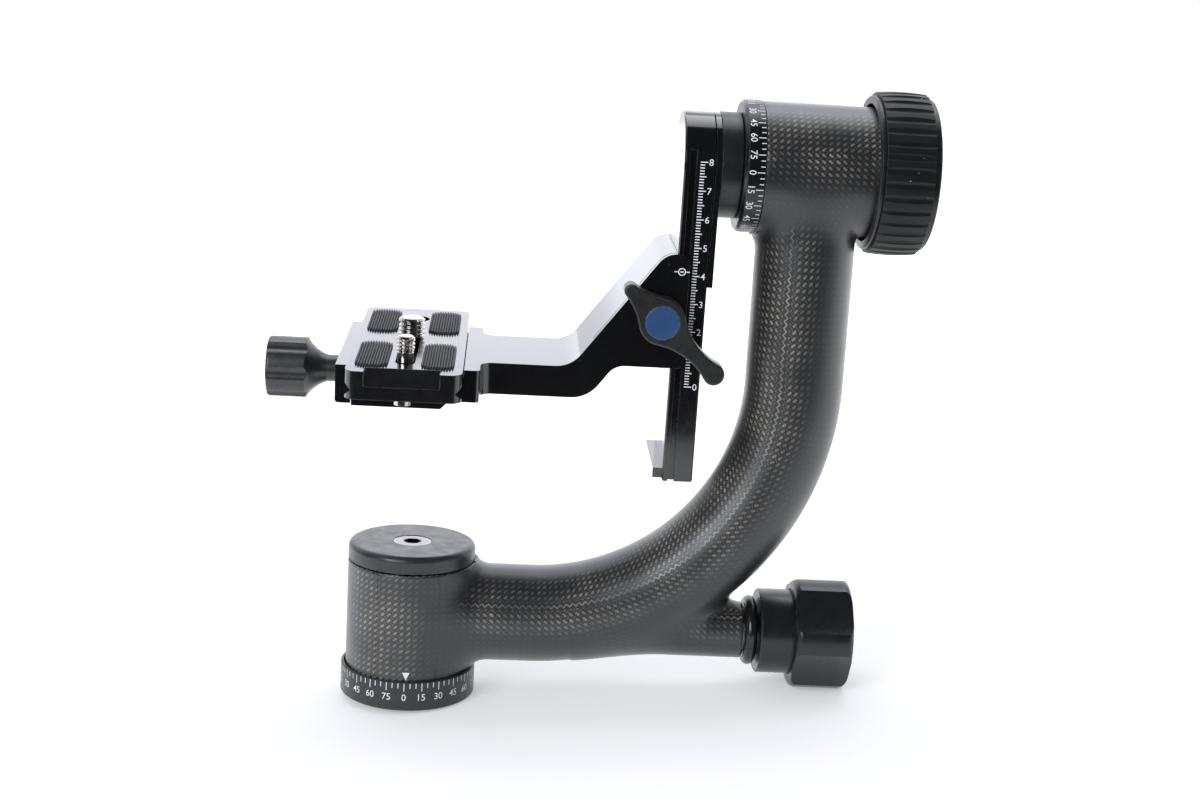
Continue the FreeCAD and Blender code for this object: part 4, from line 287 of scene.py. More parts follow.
def grey(value, tint=(1.0, 1.0, 1.0)):
    """A colour of one brightness with a slight tint."""
    return (value * tint[0], value * tint[1], value * tint[2], 1.0)


def scaled(colour, factor=1.0):
    """An opaque colour, brighter or darker by a factor."""
    return tuple(factor * c for c in colour[:3]) + (1.0,)


# ---------------------------------------------------------------- materials

def coated_metal(name, colour, roughness, grain, edge_wear_and_highlight_colour, coat=1.0, radius=0.0003,
                 speckle=0.0):
    """Anodised or painted metal with bead-blast grain, edges lighter for wear and for painted
    highlight, and a few specks.
    """
    shader = Shader(name)
    rounded = shader.rounded(radius)
    # Edges mixed towards a lighter colour: partly wear, partly painted highlight on the edges
    edge_wear_and_painted_highlight = shader.math("MULTIPLY", shader.edges(rounded), shader.ramp(
        shader.noise(900.0, 3.0), 0.35, 0.6, 0.25, 1.0))
    cloud = shader.noise(60.0, 4.0)
    shade = shader.mix(cloud, colour, scaled(colour, 1.5))
    tone = shader.mix(edge_wear_and_painted_highlight, shade, edge_wear_and_highlight_colour)
    if speckle:
        dust = shader.add("ShaderNodeTexVoronoi", Vector=shader.place, Scale=420.0)
        spot = shader.ramp(dust.outputs["Distance"], 0.03, 0.06, speckle, 0.0)
        chance = shader.ramp(shader.noise(160.0, 1.0), 0.66, 0.72)
        tone = shader.mix(shader.math("MULTIPLY", spot, chance), tone, grey(0.5))
    smear = shader.noise(240.0, 5.0)
    shader.set(
        Base_Color=tone,
        Roughness=shader.ramp(smear, 0.3, 0.7, roughness * 0.85, roughness * 1.15),
        IOR=1.5,
        Coat_Weight=coat,
        Coat_Roughness=shader.ramp(smear, 0.3, 0.7, roughness * 0.5, roughness * 0.9),
        Normal=shader.bump(shader.noise(5200.0, 2.0), grain, normal=rounded),
    )
    return shader.material


def socket_screw(name, colour):
    """Turned screw head: pale rim, greyer cone and painted shade in the socket in its middle."""
    shader = Shader(name)
    away = shader.from_axis()
    rings = shader.math("SINE", shader.math("MULTIPLY", away, 9000.0))
    # Painted shade: inside 3.3 mm the socket is painted near black
    socket_shade = shader.mix(shader.ramp(away, 0.0033, 0.0036), grey(0.02), colour)
    pale = shader.mix(shader.ramp(away, 0.0062, 0.0066), socket_shade, grey(0.75))
    shader.set(
        Base_Color=shader.mix(shader.ramp(shader.noise(500.0, 3.0), 0.4, 0.7, 0.0, 0.35), pale,
                              grey(0.25)),
        Metallic=1.0,
        Roughness=0.26,
        Normal=shader.bump(rings, 0.000003, 0.5, normal=shader.rounded(0.0002)),
    )
    return shader.material


def bare_metal(name, colour, roughness, brushed=0.5):
    """Polished or turned metal with fine tool marks and patches of tarnish."""
    shader = Shader(name)
    rounded = shader.rounded(0.00015)
    stretched = shader.add("ShaderNodeMapping", Vector=shader.place)
    stretched.inputs["Scale"].default_value = (1.0, 1.0, 14.0)
    marks = shader.noise(900.0, 3.0, stretched.outputs[0])
    tarnish = shader.noise(210.0, 4.0)
    shader.set(
        Base_Color=shader.mix(shader.ramp(tarnish, 0.35, 0.7), colour, scaled(colour, 0.72)),
        Metallic=1.0,
        Roughness=shader.ramp(marks, 0.3, 0.7, roughness, roughness * (1.0 + brushed)),
        Normal=shader.bump(marks, 0.000004, normal=rounded),
    )
    return shader.material


def soft_rubber(name, colour, roughness, speck):
    """Matt rubber with a dry surface, edges three times lighter, and dust."""
    shader = Shader(name)
    rounded = shader.rounded(0.0002)
    cloud = shader.ramp(shader.noise(140.0, 5.0), 0.3, 0.75)
    worn = shader.mix(cloud, colour, scaled(colour, 1.9))
    rim = shader.mix(shader.edges(rounded, 0.03, 0.4), worn, scaled(colour, 3.0))
    dust = shader.add("ShaderNodeTexVoronoi", Vector=shader.place, Scale=300.0)
    spot = shader.ramp(dust.outputs["Distance"], 0.04, 0.09, 1.0, 0.0)
    chance = shader.ramp(shader.noise(130.0, 1.0), 0.6, 0.64)
    shader.set(
        Base_Color=shader.mix(shader.math("MULTIPLY", shader.math("MULTIPLY", spot, chance),
                                          speck), rim, grey(0.45)),
        Roughness=shader.ramp(cloud, 0.0, 1.0, roughness * 0.85, roughness),
        IOR=1.42,
        Sheen_Weight=0.08,
        Normal=shader.bump(shader.noise(3800.0, 4.0), 0.00002, normal=rounded),
    )
    return shader.material


def carbon_weave(name, settings):
    """Braided carbon sleeve under a satin lacquer: the weave's tows that face a fixed light way
    are brightened by a painted highlight.
    """
    shader = Shader(name)
    uv = shader.add("ShaderNodeUVMap", _uv_map="Weave").outputs[0]
    drift = shader.add("ShaderNodeTexNoise", Vector=shader.place, Scale=90.0, Detail=2.0)
    moved = shader.add("ShaderNodeVectorMath", _operation="MULTIPLY_ADD")
    for socket, value in zip(moved.inputs, (drift.outputs["Color"], (0.0009,) * 3, uv)):
        shader.feed(socket, value)
    split = shader.add("ShaderNodeSeparateXYZ", Vector=moved.outputs[0])
    column = shader.math("DIVIDE", split.outputs[0], settings.pitch)
    row = shader.math("DIVIDE", shader.math("SUBTRACT", split.outputs[1], settings.seam),
                      settings.row_pitch)
    side = shader.math("SIGN", row)

    def dashes(shift, lean, width):
        """Short slanted dashes, one in each cell, leaning up or down."""
        across = shader.math("SUBTRACT", shader.math(
            "FRACT", shader.math("ADD", column, shift)), 0.5)
        up = shader.math("MULTIPLY", shader.math("SUBTRACT", shader.math(
            "FRACT", shader.math("ADD", row, shift)), 0.5), lean)
        long = shader.math("ABSOLUTE", shader.math("ADD", across, up))
        thin = shader.math("ABSOLUTE", shader.math("SUBTRACT", across, up))
        return shader.math("MULTIPLY", shader.ramp(long, 0.34, 0.66, 1.0, 0.0),
                           shader.ramp(thin, width, width + 0.18, 1.0, 0.0))

    facing = dashes(0.0, side, 0.16)
    other = dashes(0.5, shader.math("MULTIPLY", side, -1.0), 0.06)
    wave = shader.math("ABSOLUTE", shader.math(
        "SUBTRACT", shader.math("FRACT", column), 0.5))
    zigzag = shader.ramp(shader.math("ABSOLUTE", shader.math("SUBTRACT", row, shader.math(
        "SUBTRACT", wave, 0.25))), 0.07, 0.2, 1.0, 0.0)
    near = shader.math("MULTIPLY", shader.ramp(shader.math("ABSOLUTE", row), 0.55, 0.75, 1.0, 0.0),
                       shader.ramp(split.outputs[0], 0.4 * UNSEAMED, 0.6 * UNSEAMED, 1.0, 0.0))
    patch = shader.ramp(shader.noise(60.0, 2.0), 0.36, 0.6, 0.3, 1.0)
    strength = shader.math("MULTIPLY", patch, shader.ramp(
        shader.noise(480.0, 2.0), 0.3, 0.62, 0.45, 1.0))
    plain = shader.math("ADD", facing, shader.math("MULTIPLY", other, 0.35))
    lines = shader.mix(near, plain, zigzag)
    # Painted highlight: the glints grow where the normal faces a fixed light way and fade on faces
    # turned up
    lit = shader.add("ShaderNodeVectorMath", _operation="DOT_PRODUCT")
    normal = shader.add("ShaderNodeNewGeometry").outputs["Normal"]
    shader.feed(lit.inputs[0], normal)
    shader.feed(lit.inputs[1], PAINTED_GLINT_WAY)
    up = shader.add("ShaderNodeSeparateXYZ", Vector=normal).outputs[2]
    strength = shader.math("MULTIPLY", strength, shader.math(
        "MULTIPLY", shader.ramp(lit.outputs["Value"], 0.64, 0.86, 0.07, 1.0),
        shader.ramp(up, 0.7, 0.92, 1.0, 0.1)))
    painted_glint = shader.math("MULTIPLY", lines, strength)
    # The base colour mixes the ground towards the glint colour: the weave's dash pattern,
    # brightened as painted highlight
    shader.set(
        Base_Color=shader.mix(shader.math("MULTIPLY", painted_glint, settings.painted_glint_strength),
                              scaled(settings.ground), scaled(settings.painted_glint)),
        Roughness=shader.ramp(painted_glint, 0.0, 1.0, settings.roughness, settings.roughness * 0.8),
        IOR=1.5,
        Coat_Weight=1.0,
        Coat_Roughness=shader.ramp(shader.noise(70.0, 3.0), 0.3, 0.7, 0.32, 0.42),
        Normal=shader.bump(painted_glint, 0.00002, 0.4, shader.bump(shader.noise(900.0, 3.0), 0.00001)),
    )
    return shader.material


def printed_white(name):
    """White engraving paint, a little worn and uneven."""
    shader = Shader(name)
    worn = shader.ramp(shader.noise(1400.0, 4.0), 0.28, 0.42)
    shader.set(
        Base_Color=shader.mix(worn, grey(0.7), grey(0.95)),
        Roughness=shader.ramp(shader.noise(700.0, 2.0), 0.3, 0.7, 0.45, 0.65),
        Normal=shader.bump(shader.noise(6000.0, 2.0), 0.00001),
    )
    return shader.material


# ---------------------------------------------------------------- mesh helpers

def new_piece(name, bm, material, body, smooth=True):
    """Links a bmesh as a piece with one material that rides on a body."""
    mesh = bpy.data.meshes.new(name)
    bm.to_mesh(mesh)
    bm.free()
    for face in mesh.polygons:
        face.use_smooth = smooth
    piece = bpy.data.objects.new(name, mesh)
    bpy.context.scene.collection.objects.link(piece)
    mesh.materials.append(material)
    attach(piece, body)
    return piece


def cradle_point(across, back, up):
    """A point of the tilted cradle, in metres of the row frame."""
    cos, sin = math.cos(REST_TILT), math.sin(REST_TILT)
    return Vector((across, back * cos - up * sin, TILT_HEIGHT + back * sin + up * cos)) * MM


def numeral(text, height):
    """Flat mesh of a number, centred, its figures a height tall, with its corners in mm."""
    curve = bpy.data.curves.new("numeral", "FONT")
    curve.body = text
    curve.align_x = "CENTER"
    curve.align_y = "CENTER"
    curve.size = 1.0
    curve.offset = 0.003
    maker = bpy.data.objects.new("numeral", curve)
    bpy.context.scene.collection.objects.link(maker)
    bpy.context.view_layer.update()
    mesh = bpy.data.meshes.new_from_object(maker)
    bpy.data.objects.remove(maker)
    low = min(v.co.y for v in mesh.vertices)
    high = max(v.co.y for v in mesh.vertices)
    left = min(v.co.x for v in mesh.vertices)
    right = max(v.co.x for v in mesh.vertices)
    scale = height / (high - low)
    middle = Vector(((left + right) / 2.0, (low + high) / 2.0, 0.0))
    mesh.transform(Matrix.Diagonal((scale, scale, scale, 1.0)) @ Matrix.Translation(-middle))
    return mesh


def add_flat(bm, mesh, where):
    """Adds a flat mesh to a bmesh, each corner moved by a function of (x, y)."""
    made = [bm.verts.new(where(v.co.x, v.co.y)) for v in mesh.vertices]
    for face in mesh.polygons:
        bm.faces.new([made[i] for i in face.vertices])


def add_bar(bm, x0, x1, y0, y1, where):
    """Adds a flat bar, each corner moved by a function of (x, y)."""
    bm.faces.new([bm.verts.new(where(x, y))
                  for x, y in ((x0, y0), (x1, y0), (x1, y1), (x0, y1))])


def add_ring(bm, radius, width, where, steps=40):
    """Adds a flat ring about the origin, each corner moved by a function of (x, y)."""
    loops = []
    for i in range(steps):
        angle = 2.0 * math.pi * i / steps
        loops.append([bm.verts.new(where(r * math.cos(angle), r * math.sin(angle)))
                      for r in (radius - width / 2.0, radius + width / 2.0)])
    for one, two in zip(loops, loops[1:] + loops[:1]):
        bm.faces.new((one[0], one[1], two[1], two[0]))


def turned_screw(profile, thread, segments=72):
    """Revolved screw: profile of (radius, height) in mm, with a real thread on one part.

    thread is (pitch, depth, low, high): between those heights the surface follows a helix.
    """
    pitch, depth, lowest, highest = thread
    rows = []
    for (r0, z0), (r1, z1) in zip(profile, profile[1:]):
        inside = min(z0, z1) >= lowest - 1e-6 and max(z0, z1) <= highest + 1e-6
        steps = max(1, round(abs(z1 - z0) / (pitch / 10.0))) if inside else 1
        rows += [(r0 + (r1 - r0) * i / steps, z0 + (z1 - z0) * i / steps, inside)
                 for i in range(steps)]
    rows.append((*profile[-1], False))
    bm = bmesh.new()
    loops = []
    for radius, height, inside in rows:
        if radius < 1e-6:
            loops.append([bm.verts.new((0.0, 0.0, height * MM))])
            continue
        loop = []
        for i in range(segments):
            turn = i / segments
            r = radius
            if inside:
                wave = (height / pitch - turn) % 1.0
                cut = 1.0 - abs(2.0 * wave - 1.0)
                r = radius - depth * min(1.0, max(0.0, (cut - 0.12) / 0.74))
            angle = 2.0 * math.pi * turn
            loop.append(bm.verts.new((r * math.cos(angle) * MM, r * math.sin(angle) * MM,
                                      height * MM)))
        loops.append(loop)
    for low, high in zip(loops, loops[1:]):
        for i in range(segments):
            j = (i + 1) % segments
            if len(low) == 1:
                bm.faces.new((low[0], high[j], high[i]))
            elif len(high) == 1:
                bm.faces.new((low[i], low[j], high[0]))
            else:
                bm.faces.new((low[i], low[j], high[j], high[i]))
    bmesh.ops.recalc_face_normals(bm, faces=bm.faces)
    return bm


def slotted(bm, height):
    """Mesh of a screw with a driver's slot cut across it at a height in mm."""
    slot = bmesh.new()
    bmesh.ops.create_cube(slot, size=1.0, matrix=Matrix.Translation(
        (0.0, 0.0, height * MM)) @ Matrix.Diagonal((0.015, 0.0014, 0.0024, 1.0)))
    pair = []
    for name, shape in (("solid", bm), ("tool", slot)):
        mesh = bpy.data.meshes.new(name)
        shape.to_mesh(mesh)
        shape.free()
        pair.append(bpy.data.objects.new(name, mesh))
        bpy.context.scene.collection.objects.link(pair[-1])
    cut = pair[0].modifiers.new("slot", "BOOLEAN")
    cut.object = pair[1]
    cut.operation = "DIFFERENCE"
    graph = bpy.context.evaluated_depsgraph_get()
    done = bpy.data.meshes.new_from_object(pair[0].evaluated_get(graph))
    for item in pair:
        bpy.data.objects.remove(item)
    return done


# ---------------------------------------------------------------- carbon shell

def distances(point):
    """Signed distances in mm of a point to the housing, arm, tilt housing and lock branch."""
    x, y, z = point
    base = math.hypot(x, y) - HOUSING_RADIUS
    if x < BEND_X:
        across = z - ARM_HEIGHT
    elif z > BEND_Z:
        across = x - ARM_REACH
    else:
        across = math.hypot(x - BEND_X, z - BEND_Z) - ARM_BEND
    far = 99.0
    arm = math.hypot(across, y) - ARM_RADIUS if x > 2.0 and z < TILT_HEIGHT - 2.0 else far
    tilt = math.hypot(y, z - TILT_HEIGHT) - TILT_RADIUS if x > TILT_LEFT - 3.0 else far
    branch = math.hypot(y, z - BRANCH_HEIGHT) - BRANCH_RADIUS if x > BRANCH_START else far
    return base if z < HOUSING_TOP + 3.0 else far, arm, tilt, branch


def blended(point, softness):
    """Smooth union of the outer surfaces, sharper where the tilt wheel comes close."""
    first, second = sorted(distances(point))[:2]
    if point[2] > FILLET_LEVEL:
        softness *= min(max((FILLET_END - point[0]) / FILLET_FADE, 0.05), 1.0)
    share = max(softness - abs(first - second), 0.0) / softness
    return first - share * share * softness / 4.0


def weave_place(point, region):
    """UV of a point, in metres along and round its tube."""
    x, y, z = point
    if region == 0:
        return HOUSING_RADIUS * math.atan2(x, -y) * MM, z * MM
    if region == 2:
        return x * MM + UNSEAMED, TILT_RADIUS * math.atan2(z - TILT_HEIGHT, -y) * MM
    if region == 3:
        return x * MM, BRANCH_RADIUS * math.atan2(z - BRANCH_HEIGHT, -y) * MM
    quarter = ARM_BEND * math.pi / 2.0
    if x < BEND_X:
        along, across = x, z - ARM_HEIGHT
    elif z > BEND_Z:
        along, across = BEND_X + quarter + z - BEND_Z, ARM_REACH - x
    else:
        along = BEND_X + ARM_BEND * math.atan2(x - BEND_X, BEND_Z - z)
        across = ARM_BEND - math.hypot(x - BEND_X, z - BEND_Z)
    return along * MM, ARM_RADIUS * math.atan2(across, -y) * MM


def region_of(point):
    """Which tube a surface point belongs to: 0 housing, 1 arm, 2 tilt housing, 3 branch."""
    around = distances(point)
    return min(range(4), key=lambda i: abs(around[i]))


def remeshed(node, voxel):
    """Bmesh of a node's solid with its surface laid out anew on an even grid."""
    copy = bpy.data.objects.new("shell_copy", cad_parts[node].data.copy())
    bpy.context.scene.collection.objects.link(copy)
    bm = bmesh.new()
    bm.from_mesh(copy.data)
    bmesh.ops.remove_doubles(bm, verts=bm.verts, dist=1e-6)
    bm.to_mesh(copy.data)
    bm.free()
    remesh = copy.modifiers.new("remesh", "REMESH")
    remesh.mode = "VOXEL"
    remesh.voxel_size = voxel * MM
    graph = bpy.context.evaluated_depsgraph_get()
    mesh = bpy.data.meshes.new_from_object(copy.evaluated_get(graph))
    bpy.data.objects.remove(copy)
    bm = bmesh.new()
    bm.from_mesh(mesh)
    return bm


def settled(point, softness, step=0.02):
    """A point brought onto the smooth union in two moves along its slope."""
    for _ in range(2):
        here = blended(point, softness)
        slope = Vector([(blended(point + axis * step, softness) - here) / step
                        for axis in (Vector((1, 0, 0)), Vector((0, 1, 0)), Vector((0, 0, 1)))])
        if slope.length < 0.2:
            break
        point = point - slope * here / slope.length_squared
    return point


def lay_weave(bm):
    """Gives each face its place in the cloth, with no jump where the cloth closes round."""
    layer = bm.loops.layers.uv.new("Weave")
    radii = (HOUSING_RADIUS, ARM_RADIUS, TILT_RADIUS, BRANCH_RADIUS)
    for face in bm.faces:
        region = region_of(face.calc_center_median() / MM)
        places = [list(weave_place(loop.vert.co / MM, region)) for loop in face.loops]
        round_tube = 0 if region == 0 else 1
        first = places[0][round_tube]
        full = 2.0 * math.pi * radii[region] * MM
        for loop, place in zip(face.loops, places):
            place[round_tube] -= full * round((place[round_tube] - first) / full)
            loop[layer].uv = place


def carbon_shell(voxel, softness):
    """Bmesh of the carbon frame with moulded fillets where its tubes meet."""
    bm = remeshed("carbon_frame", voxel)
    for vert in bm.verts:
        point = vert.co / MM
        if abs(blended(point, softness)) > 1.6 * voxel + softness / 4.0:
            continue
        if outer_skin(point):
            vert.co = settled(point, softness) * MM
    soften_joints(bm, softness)
    lay_weave(bm)
    return bm


def soften_joints(bm, softness, rounds=6):
    """Evens out the skin where two tubes meet."""
    meeting = []
    for vert in bm.verts:
        point = vert.co / MM
        first, second = sorted(distances(point))[:2]
        if second - first < softness * 1.1 and abs(blended(point, softness)) < 0.4 \
                and outer_skin(point):
            meeting.append(vert)
    for _ in range(rounds):
        bmesh.ops.smooth_vert(bm, verts=meeting, factor=0.5, use_axis_x=True,
                              use_axis_y=True, use_axis_z=True)


def outer_skin(point):
    """Whether a point lies on the outer skin and not on an end face or in a bore."""
    x, y, z = point
    base, arm, tilt, branch = distances(point)
    if min(abs(base), abs(arm), abs(tilt), abs(branch)) > SKIN_REACH:
        return False
    for away, along, start, end in ((base, z, HOUSING_BOTTOM, HOUSING_TOP),
                                    (tilt, x, TILT_LEFT, TILT_RIGHT),
                                    (branch, x, -math.inf, BRANCH_END)):
        if abs(away) < SKIN_NEAR and not start + END_MARGIN <= along <= end - END_MARGIN:
            return False
    return True


# ---------------------------------------------------------------- settings

class FinishSettings(bpy.types.PropertyGroup):
    """Colours and gloss of the coated metals."""

    black: bpy.props.FloatVectorProperty(
        name="Black", description="Colour of the anodised pieces", subtype="COLOR",
        default=(0.004, 0.0042, 0.0052), min=0.0, max=1.0)
    gloss_roughness: bpy.props.FloatProperty(
        name="Gloss roughness", description="Roughness of the machined plates",
        default=0.13, min=0.02, max=1.0)
    satin_roughness: bpy.props.FloatProperty(
        name="Satin roughness", description="Roughness of the knobs and caps",
        default=0.36, min=0.02, max=1.0)
    cap_blue: bpy.props.FloatVectorProperty(
        name="Cap blue", description="Colour of the lever's cap", subtype="COLOR",
        default=(0.017, 0.058, 0.156), min=0.0, max=1.0)


class WeaveSettings(bpy.types.PropertyGroup):
    """Carbon cloth and its lacquer."""

    pitch: bpy.props.FloatProperty(
        name="Pitch", description="Distance between like crossings of the cloth",
        default=0.00245, min=0.0005, max=0.02, subtype="DISTANCE", unit="LENGTH")
    row_pitch: bpy.props.FloatProperty(
        name="Row pitch", description="Distance between the rows of tows",
        default=0.0022, min=0.0005, max=0.02, subtype="DISTANCE", unit="LENGTH")
    seam: bpy.props.FloatProperty(
        name="Seam", description="Place of the cloth's seam round the tube",
        default=0.008, min=-0.05, max=0.05, subtype="DISTANCE", unit="LENGTH")
    ground: bpy.props.FloatVectorProperty(
        name="Ground", description="Colour between the bright tows", subtype="COLOR",
        default=(0.011, 0.0115, 0.0135), min=0.0, max=1.0)
    # Painted highlight: colour and strength of the tow glints painted into the weave's base colour
    painted_glint: bpy.props.FloatVectorProperty(
        name="Glint", description="Colour of the bright tows", subtype="COLOR",
        default=(0.4, 0.385, 0.31), min=0.0, max=1.0)
    painted_glint_strength: bpy.props.FloatProperty(
        name="Glint strength", description="How much the bright tows stand out",
        default=0.8, min=0.0, max=1.0)
    roughness: bpy.props.FloatProperty(
        name="Roughness", description="Roughness of the cloth under its lacquer",
        default=0.42, min=0.02, max=1.0)
    voxel: bpy.props.FloatProperty(
        name="Shell grid", description="Grid of the moulded shell in millimetres",
        default=0.9, min=0.5, max=3.0)
    softness: bpy.props.FloatProperty(
        name="Fillet softness", description="Softness of the moulded joints in millimetres",
        default=7.0, min=0.5, max=15.0)


class ScaleSettings(bpy.types.PropertyGroup):
    """Printed scales."""

    numeral_height: bpy.props.FloatProperty(
        name="Numeral height", description="Height of the pan dial's numbers in millimetres",
        default=2.45, min=1.0, max=5.0)
    ruler_numeral: bpy.props.FloatProperty(
        name="Ruler numeral", description="Height of the ruler's numbers in millimetres",
        default=2.3, min=1.0, max=5.0)
    line_width: bpy.props.FloatProperty(
        name="Line width", description="Width of the scale lines in millimetres",
        default=0.3, min=0.1, max=1.0)


class StudioSettings(bpy.types.PropertyGroup):
    """Light and camera."""

    key_power: bpy.props.FloatProperty(
        name="Key power", description="Power of the large soft light above",
        default=10.0, min=0.0, max=1000.0, subtype="POWER", unit="POWER")
    rear_power: bpy.props.FloatProperty(
        name="Rear power", description="Power of the low soft light behind",
        default=6.0, min=0.0, max=1000.0, subtype="POWER", unit="POWER")
    side_power: bpy.props.FloatProperty(
        name="Side power", description="Power of the small soft light at the front left",
        default=6.8, min=0.0, max=1000.0, subtype="POWER", unit="POWER")
    level: bpy.props.FloatProperty(
        name="Level", description="Even light that falls on the head from all sides",
        default=0.55, min=0.0, max=10.0)
    room: bpy.props.FloatProperty(
        name="Room", description="Brightness of the dark room behind the camera",
        default=0.03, min=0.0, max=10.0)
    table_front: bpy.props.FloatProperty(
        name="Table front", description="Front edge of the white table before the pan axis",
        default=0.27, min=0.15, max=3.0, subtype="DISTANCE", unit="LENGTH")
    lens: bpy.props.FloatProperty(
        name="Lens", description="Focal length of the camera", default=52.467,
        min=10.0, max=300.0, subtype="DISTANCE_CAMERA", unit="CAMERA")


# ---------------------------------------------------------------- operators

class HEAD_OT_finishes(bpy.types.Operator):
    """Gives every machined, moulded and plated piece its material"""

    bl_idname = "head.finishes"
    bl_label = "Finishes"

    def execute(self, context):
        settings = context.scene.head_finish
        black = scaled(settings.black)
        # Lighter edge colours here and below: partly wear, partly painted edge highlight
        edge = grey(0.09, (1.0, 1.0, 1.06))
        gloss, satin = settings.gloss_roughness, settings.satin_roughness
        made = {
            "Dial black": coated_metal("Dial black", grey(0.02), 0.42, 0.000008, edge, 0.3),
            "Cap black": coated_metal("Cap black", grey(0.02, (1.0, 1.03, 1.1)), 0.4,
                                      0.000005, edge, 0.5),
            "Gloss black": coated_metal("Gloss black", black, gloss, 0.000002, edge, 1.0,
                                        speckle=0.5),
            "Grained black": coated_metal("Grained black", black, 0.2, 0.000004, grey(0.2),
                                          1.0, 0.0004),
            "Satin black": coated_metal("Satin black", grey(0.011, (1.0, 1.03, 1.1)), satin,
                                        0.000004, edge, 0.2),
            "Knob black": coated_metal("Knob black", grey(0.009, (0.9, 1.02, 1.1)), 0.3, 0.000002,
                                       edge, 0.25),
            "Clamp knob black": coated_metal("Clamp knob black", grey(0.016, (0.95, 1.02, 1.1)),
                                             0.36, 0.000003, edge, 0.6),
            "Dial gloss": coated_metal("Dial gloss", black, 0.3, 0.000003, grey(0.3), 0.3),
            "Carbon": coated_metal("Carbon plain", grey(0.015), 0.4, 0.000005, edge),
            "Rubber grip": soft_rubber("Rubber grip", grey(0.006, (0.9, 1.03, 1.15)), 0.5, 1.0),
            "Pad rubber": soft_rubber("Pad rubber", grey(0.033, (0.95, 1.02, 1.1)), 0.7, 0.3),
            "Ring rubber": coated_metal("Ring rubber", grey(0.008), 0.22, 0.000003,
                                        grey(0.02), 0.3),
            "Moulded black": coated_metal("Moulded black", grey(0.012, (0.95, 1.02, 1.08)),
                                          0.4, 0.000006, grey(0.3), 0.5, 0.0008),
            "Blue anodised": coated_metal("Blue anodised", scaled(settings.cap_blue), 0.34,
                                          0.00001, (0.16, 0.3, 0.5, 1.0), 0.4, 0.0007),
            "Cap screw": socket_screw("Cap screw", grey(0.42)),
            "Bright steel": bare_metal("Bright steel", (0.68, 0.66, 0.6, 1.0), 0.1),
            "Brass": bare_metal("Brass", (0.72, 0.52, 0.24, 1.0), 0.25),
            "Brake lining": soft_rubber("Brake lining", (0.1, 0.06, 0.035, 1.0), 0.85, 0.2),
            "Plain steel": bare_metal("Plain steel", (0.5, 0.5, 0.5, 1.0), 0.28),
        }
        chosen = {node: name for name, group in FINISHES.items() for node in group}
        for node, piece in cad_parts.items():
            piece.data.materials.clear()
            piece.data.materials.append(made[chosen.get(node, "Plain steel")])
        return {"FINISHED"}


class HEAD_OT_carbon(bpy.types.Operator):
    """Lays the woven shell with moulded joints over the carbon frame"""

    bl_idname = "head.carbon"
    bl_label = "Carbon shell"

    def execute(self, context):
        settings = context.scene.head_weave
        bm = carbon_shell(settings.voxel, settings.softness)
        shell = new_piece("carbon_shell", bm, carbon_weave("Carbon weave", settings),
                          "pan_frame")
        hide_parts("carbon_frame")
        return {"FINISHED"}


